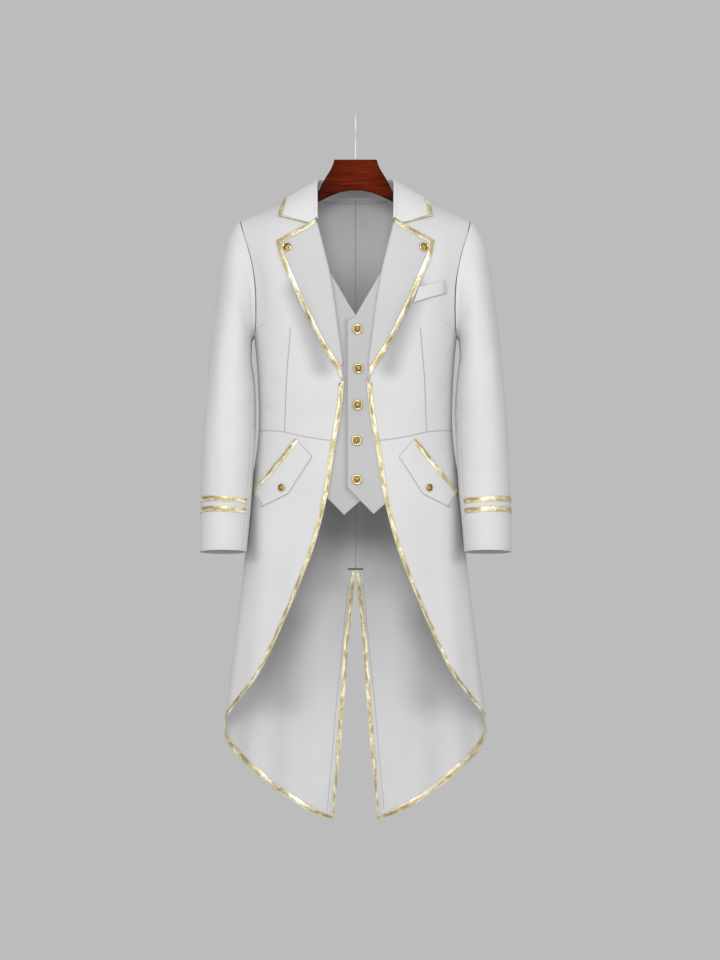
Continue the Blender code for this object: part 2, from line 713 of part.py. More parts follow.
def ring_point(ring, angle):
    """A point of a sleeve ring; the angle is 0 outside, a quarter turn at the front."""
    if ring == 0:
        return armhole_point(angle)
    outer, outer_drop, inner, inner_drop, half_depth, forward, bow = SLEEVE[ring - 1]
    share = math.cos(angle)
    ahead = half_depth * math.sin(angle)
    tilt = CUFF_TILT * ease((ring - TILT_START_RING) / (len(SLEEVE) - TILT_START_RING))
    bow *= 1 if ahead > 0 else BACK_BOW_SHARE
    across = (outer + inner) / 2 + (outer - inner) / 2 * share - bow * math.sin(angle) ** 2
    drop = (outer_drop + inner_drop) / 2 + (outer_drop - inner_drop) / 2 * share - tilt * ahead
    return Vector((across, -forward - ahead, -drop))


def sleeve_rows(spots, first, last, steps, grow=0.0):
    """Rows of points at places between the rings, from one angle to another, grown outwards."""
    angles = [first + (last - first) * i / steps for i in range(steps + 1)]
    columns = []
    for angle in angles:
        line = [ring_point(ring, angle) for ring in range(len(SLEEVE) + 1)]
        near = [ring_point(ring, angle + 0.02) for ring in range(len(SLEEVE) + 1)]
        points = []
        for spot in spots:
            point = along(line, spot)
            round_it = along(near, spot) - point
            down_it = along(line, min(spot + 0.05, len(SLEEVE))) - along(line, max(spot - 0.05, 0))
            face = round_it.cross(down_it).normalized()
            points.append(point + face * grow)
        columns.append(points)
    return [[line[i] for line in columns][::-1] for i in range(len(spots))]


def make_sleeves(side_name, side):
    spots = [0, 0.6, 1.4, 2.4, 3.4, 4.4, 5.4, 6.5, 7.6, 8.8, 10, 11.2]
    spots += [spot for stripe in CUFF_STRIPES for spot in stripe] + [13.3, 14]
    top_seam = FRONT_SLEEVE_SEAM - SLEEVE_SEAM_HALF
    hind_seam = HIND_SLEEVE_SEAM + SLEEVE_SEAM_HALF
    rows = sleeve_rows(spots, hind_seam, top_seam, TOP_SLEEVE_STEPS, -CLOTH)
    sheet("sleeve_top_" + side_name, rows, CLOTH, TWILL, side, even=False)
    first = FRONT_SLEEVE_SEAM + SLEEVE_SEAM_HALF
    last = HIND_SLEEVE_SEAM + 2 * math.pi - SLEEVE_SEAM_HALF
    rows = sleeve_rows(spots, first, last, UNDER_SLEEVE_STEPS, -CLOTH)
    sheet("sleeve_under_" + side_name, rows, CLOTH, TWILL, side)
    for number, stripe in enumerate(CUFF_STRIPES, 1):
        rows = sleeve_rows(stripe, hind_seam, top_seam, TOP_SLEEVE_STEPS, EDGE_GAP)
        sheet(f"cuff_stripe_{number}_" + side_name, rows, STRIPE_THICK, GOLD, side)


# Pieces laid on or under the fronts.

def ruled_points(top, foot, rows, lift):
    """Rows of points between two lines of (across, drop), laid on the front."""
    made = []
    for j in range(rows + 1):
        line = [a.lerp(b, j / rows) for a, b in zip(top, foot)]
        made.append([lifted(place(p.x, p.y), lift) for p in line])
    return made


def make_waistcoat():
    for name, table, lift, side in (("waistcoat_right", WAISTCOAT_OVER, OVER_LIFT, 1),
                                    ("waistcoat_left", WAISTCOAT_UNDER, UNDER_LIFT, -1)):
        top = [Vector((across, high)) for across, high, _ in table]
        foot = [Vector((across, low)) for across, _, low in table]
        sheet(name, ruled_points(top, foot, WAISTCOAT_ROWS, lift), LIGHT_CLOTH, TWILL, side)


def flap_lines():
    seam = [Vector(FLAP_SEAM[0]).lerp(Vector(FLAP_SEAM[1]), i / 6) for i in range(7)]
    b, c, d, e = (Vector(p) for p in FLAP_FREE)
    free = [b, b.lerp(c, 1 / 3), b.lerp(c, 2 / 3), c, c.lerp(d, 0.5), d, e]
    return seam, free


def make_flaps(side_name, side):
    seam, free = flap_lines()
    sheet("flap_" + side_name, ruled_points(seam, free, 3, LAID_LIFT), CLOTH, TWILL, side)
    stripe_foot = []
    for a, b in zip(seam, free):
        stripe_foot.append(a.lerp(b, min(RIBBON_WIDTH / (b - a).length, 0.9)))
    lift = LAID_LIFT + CLOTH + EDGE_GAP
    sheet("flap_stripe_" + side_name, ruled_points(seam, stripe_foot, 1, lift), STRIPE_THICK, GOLD, side)


def make_welt():
    top = [Vector(WELT_TOP[0]).lerp(Vector(WELT_TOP[1]), i / 4) for i in range(5)]
    foot = [Vector(WELT_FOOT[0]).lerp(Vector(WELT_FOOT[1]), i / 4) for i in range(5)]
    sheet("breast_welt", ruled_points(top, foot, 2, LAID_LIFT), CLOTH, TWILL)


def make_button(name, at, lift, radius, height, side):
    """A turned button standing on the cloth, its face outward."""
    mesh = bpy.data.meshes.new(name)
    points = [(radius * r * MM, 0, height * h * MM) for r, h in BUTTON_PROFILE]
    mesh.from_pydata(points, [(i, i + 1) for i in range(len(points) - 1)], [])
    made = add_object(name, mesh, BUTTON_GOLD)
    turned = made.modifiers.new("turn", "SCREW")
    turned.steps = turned.render_steps = BUTTON_STEPS
    turned.use_merge_vertices = True
    turned.merge_threshold = 0.00002
    turned.use_normal_calculate = True
    face = outward(at)
    point = lifted(at, lift)
    face.x, point.x = face.x * side, point.x * side
    made.matrix_world = Matrix.Translation(point * MM) @ face.to_track_quat("Z", "Y").to_matrix().to_4x4()
    return made


def make_buttons():
    for number, (across, drop) in enumerate(WAISTCOAT_BUTTONS, 1):
        lift = OVER_LIFT + LIGHT_CLOTH + EDGE_GAP
        make_button(f"waistcoat_button_{number}", place(across, drop), lift, 9, 4, 1)
    for side_name, side in SIDES:
        lift = LAPEL_LIFT + LAPEL_PUFF + CLOTH
        make_button("lapel_button_" + side_name, place(*LAPEL_BUTTON), lift, 8.5, 4, side)
        lift = LAID_LIFT + CLOTH + EDGE_GAP + 0.2
        make_button("flap_button_" + side_name, place(*FLAP_BUTTON), lift, 7, 3.5, side)


# The hanger and its hook.

def make_hanger():
    """The wooden bar: a flat outline, cut to lie just under the shoulders."""
    arm = []
    for i in range(HANGER_ARM_STEPS + 1):
        share = i / HANGER_ARM_STEPS
        across = HANGER_ARM_START + (HANGER_ARM_END - HANGER_ARM_START) * share
        under = HANGER_UNDER_CLOTH + (HANGER_TIP_UNDER_CLOTH - HANGER_UNDER_CLOTH) * share ** 3
        arm.append((across, shoulder_drop(across) + under))
    half = list(HANGER_NECK) + arm + list(HANGER_NOSE) + list(HANGER_FOOT)
    outline_points = half + [(-across, drop) for across, drop in reversed(half)]
    curve = bpy.data.curves.new("hanger", "CURVE")
    curve.dimensions = "2D"
    curve.fill_mode = "BOTH"
    curve.extrude = (HANGER_THICK / 2 - HANGER_BEVEL) * MM
    curve.bevel_depth = HANGER_BEVEL * MM
    curve.bevel_resolution = 0
    curve.offset = -HANGER_BEVEL * MM
    line = curve.splines.new("POLY")
    line.points.add(len(outline_points) - 1)
    for point, (across, drop) in zip(line.points, outline_points):
        point.co = (across * MM, -drop * MM, 0, 1)
    line.use_cyclic_u = True
    bar = add_object("hanger_bar", curve, WOOD)
    bar.rotation_euler = (math.pi / 2, 0, 0)


def make_hook():
    """The steel hook, seen edge on from the front; the inside of its bend is the origin."""
    points = [(0, -HANGER_TOP + SEAM_GAP), (0, -60), (0.5, -50), (4, -43), (11, -38.5)]
    centre = -HOOK_BEND + HOOK_WIRE
    for i in range(13):
        angle = math.radians(-48 + 21 * i)
        points.append((HOOK_BEND * math.cos(angle), centre + HOOK_BEND * math.sin(angle)))
    curve = bpy.data.curves.new("hook", "CURVE")
    curve.dimensions = "3D"
    curve.bevel_depth = HOOK_WIRE * MM
    curve.bevel_resolution = 2
    curve.use_fill_caps = True
    line = curve.splines.new("POLY")
    line.points.add(len(points) - 1)
    for point, (aside, high) in zip(line.points, points):
        point.co = (0, aside * MM, high * MM, 1)
    add_object("hook", curve, STEEL)


for old in list(bpy.data.objects):
    bpy.data.objects.remove(old, do_unlink=True)
COAT = bpy.data.collections.new("victorian_tailcoat")
bpy.context.scene.collection.children.link(COAT)

TWILL = material("twill", (0.72, 0.72, 0.74), 0.75)
GOLD = material("gold_ribbon", (0.75, 0.58, 0.25), 0.35, 0.8)
BUTTON_GOLD = material("button_gold", (0.70, 0.52, 0.22), 0.3, 1.0)
WOOD = material("hanger_wood", (0.15, 0.02, 0.01), 0.35)
STEEL = material("hook_steel", (0.8, 0.8, 0.8), 0.25, 1.0)
EDGE_POINTS = [lifted(place(across, drop, back), COLLAR_LIFT) for _, across, drop, back in COLLAR_EDGE]

open_edge = outline()
panel_edge = inset(open_edge, RIBBON_WIDTH + EDGE_GAP)
for side_name, side in SIDES:
    make_fronts(panel_edge, side_name, side)
    make_skirts(panel_edge, side_name, side)
    make_backs(panel_edge, side_name, side)
    make_edge_ribbons(open_edge, side_name, side)
    make_lapels(side_name, side)
    make_sleeves(side_name, side)
    make_flaps(side_name, side)
make_collar()
make_waistcoat()
make_welt()
make_buttons()
make_hanger()
make_hook()
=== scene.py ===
import math

import bmesh
import bpy
import numpy as np
from mathutils import Matrix, Vector


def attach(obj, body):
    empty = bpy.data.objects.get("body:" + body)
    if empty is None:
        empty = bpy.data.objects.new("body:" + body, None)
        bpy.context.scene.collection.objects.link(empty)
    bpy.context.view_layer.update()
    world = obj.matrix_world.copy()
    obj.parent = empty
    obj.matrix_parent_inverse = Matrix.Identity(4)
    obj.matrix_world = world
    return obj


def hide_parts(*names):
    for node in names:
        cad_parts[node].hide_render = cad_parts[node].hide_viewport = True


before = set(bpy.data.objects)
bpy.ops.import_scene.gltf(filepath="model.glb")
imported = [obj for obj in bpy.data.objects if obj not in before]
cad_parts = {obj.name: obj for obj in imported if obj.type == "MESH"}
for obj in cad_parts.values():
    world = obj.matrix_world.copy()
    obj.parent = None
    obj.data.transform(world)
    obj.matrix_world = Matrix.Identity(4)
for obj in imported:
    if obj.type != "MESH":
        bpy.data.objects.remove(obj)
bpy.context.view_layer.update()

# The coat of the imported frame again, cut finer, with its soft folds, foil, stitching and grain. Every size
# and table is in millimetres, in the frame's axes: a drop is a depth below the hook's inside top, and a
# width is a distance across from the middle. A place on the coat is (turn, down): the turn round the body
# from the middle of the front (0) to the middle of the back (pi), and the length down from the shoulder.

MM = 0.001

# Cloth, ribbon and gaps.
CLOTH = 1.6
LIGHT_CLOTH = 1.4
COLLAR_CLOTH = 1.8
RIBBON_WIDTH = 9.0
RIBBON_THICK = 2.4
RIBBON_LIFT = -0.4
STRIPE_THICK = 1.0
SEAM_GAP = 0.06
EDGE_GAP = 0.5
MITRE_GAP = 1.3
GORGE_GAP = 2.8
FOOT_GAP = 0.7
LAID_LIFT = CLOTH + 1.1

# The figure's plan section at each drop: (drop, half width, depth to the front, depth to the back).
BODY = (
    (110, 232, 92, 90),
    (160, 232, 97, 97),
    (200, 229, 101, 103),
    (260, 215, 105, 108),
    (330, 197, 107, 110),
    (400, 181, 105, 108),
    (480, 174, 100, 101),
    (575, 173, 96, 95),
    (680, 187, 99, 110),
    (790, 197, 98, 116),
    (900, 210, 94, 114),
    (1000, 223, 90, 108),
    (1110, 236, 86, 102),
    (1290, 247, 84, 98),
)
HALF_WIDTH, FRONT_DEPTH, BACK_DEPTH = 1, 2, 3
SECTION_POWER = 2.3
SHOULDER_ROUND = 130.0

# Soft flutes in the hanging tails: they start at a drop and grow to full depth at the hem.
FLUTE_START, FLUTE_FULL = 700.0, 1250.0
FLUTE_DEPTH = 6.0
FLUTES_ROUND = 14.0

# The shoulder line falls evenly from the neck point to the sleeve head.
NECK_HALF, NECK_DROP = 75.0, 135.0
SHOULDER_SLOPE = 0.44
SHOULDER_HALF = 207.0
SIDE_TURN = math.radians(98)
# A rough half width of the coat, which turns a distance across the cloth into an angle of turn.
GIRTH_RADIUS = 190.0
CENTRE = SEAM_GAP / 2

# Lines of the cut: (across, drop).
BACK_NECK = ((CENTRE, 148), (30, 148.6), (52, 148.4), (66, 144.5), (75, 135))
FRONT_NECK = ((75, 135), (74, 150), (72, 172), (70, 194))
FRONT_ARMHOLE = ((207, 193.1), (199, 217), (191.5, 240), (184.5, 266), (179.5, 293), (176.8, 319),
                 (176, 354), (177, 385), (179.5, 400))
BACK_ARMHOLE = ((207, 193.1), (203.5, 215), (199, 240), (194, 270), (190, 300), (185, 340),
                (181.5, 380), (180.4, 400))
ROLL_LINE = ((70, 194), (65, 216), (56, 252), (47.5, 287), (38.5, 340), (31.5, 393), (25.5, 437), (21, 481))
LAPEL_EDGE = ((139, 234), (132.5, 261), (116.5, 300), (98.5, 343), (81, 378), (63.5, 412), (45.5, 442),
              (31.5, 463), (22.5, 484))
LAPEL_NOTCH = (84.7, 207.1)
FRONT_EDGE = ((20.4, 486.5), (22, 508), (26, 542), (37, 604), (51, 692), (72, 772), (99, 843), (133, 923),
              (167, 994), (194, 1033), (222, 1070), (231.4, 1084))
TAIL_SIDE_DROP = 1106.0
TAIL_HEM = ((232.6, 1127.6), (207.7, 1167), (175.5, 1200), (139, 1230), (103, 1255), (66, 1272), (39.6, 1281))
VENT_EDGE = ((39.6, 1281), (36.9, 1244), (27.7, 1153), (20.4, 1061), (12.5, 951), (4.8, 878), (CENTRE, 825))
WAIST_LINE = ((46, 587), (60, 585.5), (99, 579), (126, 572), (150, 569.5), (168, 569))
WAIST_SIDE_DROP = 569.0
UNDERARM_DROP = 403.0
FRONT_SIDE_DROPS = (UNDERARM_DROP, 460, 515)
BACK_SEAM_DROPS = (148, 260, 370, 480, 590, 700, 822)
# How far the front ribbon runs on upwards from its first point, in steps, and sinks under the lapel's end.
RUN_UP_STEPS = 0.55
RUN_UP_SINK = 0.5
SKIRT_FOOT_TURN = math.radians(91)

# The collar from the middle of the back (0) round to its front end (1). Its fold's top:
# (how far round, across, forward, drop).
COLLAR_FOLD = (
    (0.00, 0, -58, 113),
    (0.15, 25, -56.5, 113),
    (0.30, 47, -44, 113),
    (0.42, 62, -22, 113.5),
    (0.50, 69, 0, 115.5),
    (0.65, 71, 32, 127),
    (0.80, 70.5, 62, 151),
    (0.92, 70, 81, 176),
    (1.00, 69.5, 91, 191),
)
# The collar's outer edge where it lies on the coat: (how far round, across, drop, on the back?).
COLLAR_EDGE = (
    (0.00, 0, 172, True),
    (0.15, 33, 172, True),
    (0.30, 70, 169, True),
    (0.42, 110, 160, True),
    (0.50, 124, 157.2, False),
    (0.65, 128.5, 163, False),
    (0.80, 132.5, 174, False),
    (0.92, 135, 183, False),
    (1.00, 136, 189, False),
)
COLLAR_LIFT = 4.2
FOLD_HALF = 1.6
NOTCH_SHARE = 0.26
# Outside the notch by these shares, the cloth stops short and the ribbon's inner edge starts.
NOTCH_CLEAR, MITRE_SHARE = 0.02, 0.03
# The collar's end curves down to the notch over this last part of its length.
END_CURVE_START = 0.78
# Where the cloth and the end ribbon's inner edge lie, in shares round the neck.
CLOTH_END_SHARE = 0.955
RIBBON_END_SHARE = 0.96
# Where the end ribbon lies, the cloth's end goes only this share of the way.
CLOTH_UNDER_RIBBON = 0.12
NECK_CENTRE = 8.0
# Above this drop below the shoulder line the collar stands free of the coat.
OVER_SHOULDER = 5

# The lapel's lift off the front: (distance out from the roll line, lift). It turns round the front's edge.
LAPEL_ROLL = ((0, 0), (0, 1.9), (0.9, 2.8), (6, 4.2))
LAPEL_LIFT = 2.8
LAPEL_PUFF = 1.2
# The lapel's top edge bends down by this much at the notch, this far out from the roll line.
NOTCH_BEND = 3.4
NOTCH_REACH = 19.0
# Its cloth stops where it's only this much wider than the ribbon, and where less than the narrow width is
# left, its inner rows lie at a share of that.
LAPEL_STOP = 2.4
LAPEL_NARROW, LAPEL_NARROW_SHARE = 14, 0.4
# The roll line's rough length, and the least distance of two rows, as a share of it.
ROLL_LENGTH = 300
LEAST_ROW_SHARE = 0.004
# The ribbon down the free edge starts this much of the roll line below the one along the top edge.
TOP_RIBBON_SHARE = 0.01

# Sleeve rings below the armhole: (outer across, outer drop, inner across, inner drop, half depth,
# forward, bow towards the body at the front and back).
SLEEVE = (
    (215, 197.5, 186, 409, 60, 1, 13),
    (222, 209, 187, 418, 63, 2, 11),
    (230, 229, 187.5, 428, 66, 3, 8),
    (238, 263, 187, 440, 69, 4, 5),
    (245.5, 305, 185.5, 455, 70, 5, 3),
    (252, 352, 182.5, 474, 69.5, 7, 1),
    (258, 402, 180, 498, 68, 10, 0),
    (263.5, 455, 179, 526, 66, 14, 0),
    (268, 508, 179, 557, 63, 19, 0),
    (271.5, 561, 180, 590, 60, 26, 0),
    (274, 616, 181.5, 631, 57, 34, 0),
    (276, 672, 184.5, 679, 53, 43, 0),
    (277, 730, 189, 732, 49, 52, 0),
    (277, 785, 193.5, 785, 45, 61, 0),
)
CUFF_TILT = 0.11
BACK_BOW_SHARE = 0.45
TILT_START_RING = 6
FRONT_SLEEVE_SEAM = math.radians(148)
HIND_SLEEVE_SEAM = math.radians(-120)
SLEEVE_RISE = CLOTH + 0.2
SLEEVE_PROUD = 0.6
SLEEVE_SEAM_HALF = 0.011
# Places between the sleeve's rings: the cuff's two ribbon stripes, and where its rows of points go.
CUFF_STRIPES = ((12.26, 12.44), (12.58, 12.76))
SLEEVE_SPOTS = (0, 0.6, 1.4, 2.4, 3.4, 4.4, 5.4, 6.5, 7.6, 8.8, 10, 11.2, 12.26, 12.44, 12.58, 12.76,
                13.3, 14)

# The waistcoat fronts: (across, top drop, hem drop), from the front edge to the line sewn in the coat.
WAISTCOAT_OVER = ((-14.4, 377, 670), (0, 367.5, 685), (16, 340, 701), (32, 313, 717.4), (48.7, 284.5, 702.6),
                  (64, 258.5, 689), (80, 231, 675))
WAISTCOAT_UNDER = ((-14.4, 377, 689), (-3, 369, 698.5), (9, 352, 709), (20.1, 333, 718.8), (35, 308, 703.5),
                   (57, 270.5, 682), (80, 231, 660))
OVER_LIFT = -1.0 - LIGHT_CLOTH
UNDER_LIFT = OVER_LIFT - 0.6 - LIGHT_CLOTH
WAISTCOAT_ROWS = 11

# The pocket flap's corners, from its sewn line to its free edge, and the breast welt's corners.
FLAP_SEAM = ((105.7, 582.7), (177.6, 676.6))
FLAP_FREE = ((76.3, 615.8), (119.1, 681.4), (164, 704.7), (176.2, 684.5))
WELT_TOP = ((111, 315.3), (157.6, 303.2))
WELT_FOOT = ((102.3, 343.8), (161, 325.3))

# Buttons: (across, drop), and the radius and height of each kind.
WAISTCOAT_BUTTONS = ((3.3, 391), (5.1, 460.4), (4, 524.7), (1.9, 587.3), (2.8, 656.1))
LAPEL_BUTTON = (119, 246.5)
FLAP_BUTTON = (128.6, 670.5)
WAISTCOAT_BUTTON_SIZE = (9, 4)
LAPEL_BUTTON_SIZE = (8.5, 4)
FLAP_BUTTON_SIZE = (7, 3.5)
# A button's turned profile, from its face round the rim to the shank, and how far the petals on it stand.
BUTTON_PROFILE = ((0, 0.86), (0.10, 0.86), (0.20, 0.83), (0.30, 0.78), (0.42, 0.72), (0.52, 0.66),
                  (0.60, 0.62), (0.66, 0.66), (0.72, 0.86), (0.78, 0.98), (0.85, 1.0), (0.92, 0.92),
                  (0.97, 0.72), (1.0, 0.45), (0.97, 0.18), (0.88, 0), (0.26, 0), (0.22, -0.14), (0, -0.14))
PETALS = 8
PETAL_HEIGHT = 0.09
PETAL_REACH = 0.62
PETAL_RINGS = 7

# The hanger: the outline's right half, as (across, drop), from the flat top down and back to the middle.
HANGER_TOP = 81.0
HANGER_NECK = ((38, 81), (41, 91), (46, 101), (53, 112), (60, 124), (66, 137.5))
HANGER_ARM_START, HANGER_ARM_END = 80.0, 203.0
HANGER_UNDER_CLOTH = 2.2
HANGER_TIP_UNDER_CLOTH = 4.4
HANGER_NOSE = ((205, 199), (205, 206), (201, 211))
HANGER_FOOT = ((140, 187), (100, 170.5), (70, 157.5), (47, 146), (29, 139), (12, 135.5))
HANGER_THICK = 18.0
HANGER_BEVEL = 2.0
HOOK_WIRE = 1.75
HOOK_BEND = 20.0 + HOOK_WIRE
# The hook's stem, as (towards the back, up), and its bend in degrees: start, step and number of steps.
HOOK_STEM = ((0, -HANGER_TOP - 1), (0, -60), (0.2, -54), (0.8, -49.5), (2.2, -45.8), (4.2, -42.8),
             (7.2, -40.3), (11, -38.5))
HOOK_START, HOOK_TURN, HOOK_STEPS = -48, 5.25, 48
# The thread bar over the vent.
TACK_HALF, TACK_DROP, TACK_RADIUS, TACK_LIFT = 14.0, 821.0, 1.2, -0.5
TACK_STEPS = 12

# Soft folds on the body: (on the back?, half width, height out, or depth in if negative, line), where the
# line's places are (across, drop) as seen from the front, with their own sign for each side.
FOLDS = (
    # The hollow that the standing lapel leaves beside its lower edge, and the drags below it.
    (False, 15, -8.0, ((-108, 318), (-80, 400), (-58, 462))),
    (False, 14, -7.6, ((106, 324), (80, 398), (60, 456))),
    (False, 13, 1.8, ((-66, 470), (-92, 520), (-120, 552))),
    (False, 15, 1.5, ((62, 476), (84, 516), (118, 560))),
    (False, 9, -1.3, ((-50, 486), (-68, 530), (-74, 566))),
    (False, 8, -1.1, ((52, 500), (70, 536))),
    # From the shoulder down beside the armhole.
    (False, 11, -1.7, ((-186, 248), (-168, 312), (-160, 392))),
    (False, 13, -1.5, ((182, 262), (166, 326), (163, 380))),
    (False, 16, 1.2, ((-150, 210), (-152, 300), (-146, 372))),
    (False, 14, 1.4, ((156, 222), (150, 290), (142, 350))),
    (False, 8, -0.9, ((-110, 318), (-115, 384))),
    (False, 9, -0.8, ((112, 334), (117, 390))),
    # At the side of the waist.
    (False, 8, -1.2, ((-174, 470), (-150, 486), (-134, 488))),
    (False, 9, -1.0, ((-170, 528), (-146, 536))),
    (False, 9, -1.1, ((172, 492), (146, 500))),
    (False, 8, -0.9, ((168, 538), (150, 548), (132, 549))),
    # Long soft waves in the skirts.
    (False, 28, 3.0, ((-150, 640), (-172, 800), (-200, 1000))),
    (False, 24, -1.8, ((-112, 640), (-134, 790), (-160, 900))),
    (False, 26, 2.6, ((156, 660), (170, 780), (190, 960))),
    (False, 22, -1.6, ((120, 620), (130, 760), (166, 930))),
    # The back: drags from the armholes, creases at the waist, waves in the tails.
    (True, 11, -1.8, ((-172, 296), (-128, 372), (-72, 424))),
    (True, 13, -1.6, ((168, 312), (126, 366), (84, 436))),
    (True, 9, -1.2, ((-160, 372), (-118, 430))),
    (True, 10, -1.0, ((156, 386), (122, 440), (96, 462))),
    (True, 16, 1.6, ((-92, 190), (-98, 280), (-90, 360))),
    (True, 15, 1.4, ((96, 200), (94, 300))),
    (True, 8, -1.2, ((-150, 508), (-104, 522), (-58, 518))),
    (True, 7, -0.9, ((-120, 556), (-66, 562))),
    (True, 9, -1.1, ((146, 520), (92, 532))),
    (True, 8, -0.9, ((128, 566), (84, 574), (50, 566))),
    (True, 22, -3.2, ((-92, 690), (-106, 900), (-100, 1130))),
    (True, 20, -2.8, ((98, 720), (104, 880), (108, 1090))),
    (True, 24, 2.4, ((-150, 700), (-172, 900), (-178, 1080))),
    (True, 26, 2.6, ((146, 680), (166, 880), (182, 1050))),
    (True, 10, 1.4, ((-46, 1170), (-70, 1200), (-104, 1216))),
    (True, 9, -1.2, ((-44, 1208), (-72, 1226))),
    (True, 10, 1.3, ((44, 1196), (66, 1216), (92, 1222))),
    # Gathers under the back of the neck.
    (True, 3.2, -1.3, ((-56, 150), (-54, 168))),
    (True, 3.0, -1.0, ((-47, 151), (-46, 164))),
    (True, 3.4, -1.4, ((42, 151), (41, 170))),
    (True, 3.0, -1.1, ((50, 150), (50, 165))),
    (True, 2.8, -0.9, ((58, 149), (57, 161))),
    # Two long soft flutes inside the back.
    (True, 12, 2.8, ((-26, 176), (-27, 300), (-24, 430))),
    (True, 12, 2.6, ((27, 184), (26, 310), (22, 416))),
)

# A faint ripple all over the cloth, and the depth from the side within which folds fade out.
RIPPLE = 0.35
SLEEVE_RIPPLE = 0.3
SIDE_FADE = 30.0

# Soft folds on the sleeves: (sides, half width, height out, line of (ring, degrees round from outside)).
SLEEVE_RADIUS = 55.0
RING_STEP = 44.0
SLEEVE_FOLDS = (
    ((1, -1), 10, -2.2, ((0.9, 128), (2.6, 112), (4.2, 96))),
    ((1,), 9, -1.6, ((1.6, 150), (3.4, 140), (4.8, 122))),
    ((-1,), 9, -1.7, ((1.3, 146), (3.0, 136), (5.2, 128))),
    ((1,), 10, -2.2, ((9.9, 74), (10.7, 92))),
    ((-1,), 11, -1.9, ((9.4, 98), (10.5, 90))),
    ((1,), 9, -1.8, ((7.9, 172), (8.5, 138), (8.8, 112))),
    ((-1,), 8, -1.9, ((7.5, 168), (8.2, 134))),
    ((1, -1), 8, -1.4, ((8.9, 184), (9.3, 150))),
    ((1,), 14, 1.8, ((5.0, 60), (7.4, 52), (9.4, 60))),
    ((-1,), 15, 1.6, ((5.6, 66), (7.6, 58), (10.0, 70))),
    ((1,), 11, -1.3, ((10.9, 120), (12.0, 112))),
    ((-1,), 12, -1.2, ((11.0, 60), (12.1, 76))),
    ((1, -1), 11, -2.0, ((0.9, -132), (2.4, -112), (4.0, -96))),
    ((1,), 9, -1.7, ((7.7, -70), (8.4, -100), (8.7, -132))),
    ((-1,), 10, -1.5, ((8.1, -60), (8.6, -96))),
    ((1, -1), 15, 1.5, ((8.0, -64), (9.6, -60))),
    ((1,), 12, -1.4, ((10.2, -96), (11.6, -80))),
    ((-1,), 12, -1.3, ((9.9, -80), (11.2, -92))),
    ((1, -1), 16, 1.3, ((2.0, 10), (4.6, 4), (6.6, 8))),
)

# Darts, seams, edge lines and painted shade in hollows and gaps, as (across, drop) lines that the cloth's
# look draws.
DART = ((115, 388), (122.5, 478), (126, 570))
WAIST_SEAM = ((40, 587.6), (60, 585.5), (99, 579), (126, 572), (150, 569.5), (176, 569))
BACK_SEAM = ((0, 148), (0, 828))
BACK_NECK_SEAM = ((0, 153), (40, 153.5), (58, 151))
# Painted shade in the hollow below the lapel's lower edge.
HOLLOW_SHADE = ((106, 322), (79, 400), (60, 456))
FLAP_OUTLINE = FLAP_SEAM[:1] + FLAP_FREE
WELT_OUTLINE = ((104, 338),) + WELT_TOP + WELT_FOOT[::-1]
WELT_STITCH = ((154.4, 304), (157.6, 326))
VEST_EDGE = ((0, 367.5), (-14.4, 377), (-14.4, 670), (0, 685), (32, 717.4), (48.7, 702.6), (80, 675))
# Painted shade: beside the upper waistcoat front, inside the back below the neck, in the tails, beside the
# vent, in the gap beside the sleeves and on the skirts beside the cuffs.
VEST_SHADE = ((-16, 377), (-16, 672), (-2, 687), (14, 703))
NECK_SHADE = ((0, 385), (0, 430))
TAIL_SHADE = ((122, 925), (136, 1010), (136, 1050))
VENT_SHADE = ((36, 690), (38, 840))
GAP_SHADE = ((190, 380), (186, 470), (180, 560))
CUFF_SHADE = ((188, 640), (184, 790))
VENT_STITCH = ((14, 850), (19, 905), (34.5, 1060), (44.5, 1180), (52, 1262))

# The flat cut of each piece: (width, length, area, how it is held, what carries it), in metres and square
# metres; a carrier that ends in _ is the one on the same side.
CUTS = {
    "front": (0.25, 0.47, 0.0784, "hung", "hanger_bar"),
    "skirt": (0.27, 0.57, 0.0786, "hung", "front_"),
    "back": (0.34, 1.16, 0.239, "hung", "hanger_bar"),
    "sleeve_top": (0.30, 0.66, 0.1267, "hung", "front_"),
    "sleeve_under": (0.17, 0.55, 0.0349, "hung", "front_"),
    "collar": (0.12, 0.52, 0.036, "folded", "hanger_bar"),
    "lapel": (0.09, 0.30, 0.0123, "folded", "front_"),
    "flap": (0.08, 0.125, 0.0064, "hung", "skirt_"),
    "breast_welt": (0.035, 0.06, 0.00145, "laid", "front_right"),
    "waistcoat": (0.13, 0.46, 0.0363, "hung", "front_"),
    "front_ribbon": (0.010, 1.08, 0.0083, "stretched", "front_"),
    "vent_ribbon": (0.010, 0.50, 0.0038, "stretched", "back_"),
    "lapel_ribbon": (0.010, 0.40, 0.0032, "stretched", "lapel_"),
    "collar_ribbon": (0.010, 0.52, 0.0044, "stretched", "collar"),
    "cuff_stripe_1": (0.010, 0.24, 0.0023, "stretched", "sleeve_top_"),
    "cuff_stripe_2": (0.010, 0.24, 0.0023, "stretched", "sleeve_top_"),
    "flap_stripe": (0.010, 0.125, 0.001, "stretched", "flap_"),
}

# How finely each piece is divided.
FINE = 4
OUTLINE_STEPS = 36 * FINE
VENT_STEPS = 11 * FINE
PANEL_COLUMNS = 9 * FINE
NECK_COLUMNS = 4 * FINE
ROLL_STEPS = 12 * FINE
FRONT_ARMHOLE_STEPS = 10 * FINE
BACK_ARMHOLE_STEPS = 8 * FINE
BACK_SEAM_STEPS = 14 * FINE
LAPEL_ROWS = 13 * FINE
LAPEL_COLUMNS = 4 * FINE
COLLAR_STEPS = 16 * FINE
LEAF_STEPS = 3 * FINE
STAND_STEPS = 2 * FINE
FOLD_STEPS = 8
COLLAR_END_STEPS = 3 * FINE
TOP_SLEEVE_STEPS = 13 * FINE
UNDER_SLEEVE_STEPS = 5 * FINE
RIBBON_STEPS = 3
HANGER_ARM_STEPS = 16
BUTTON_STEPS = 48

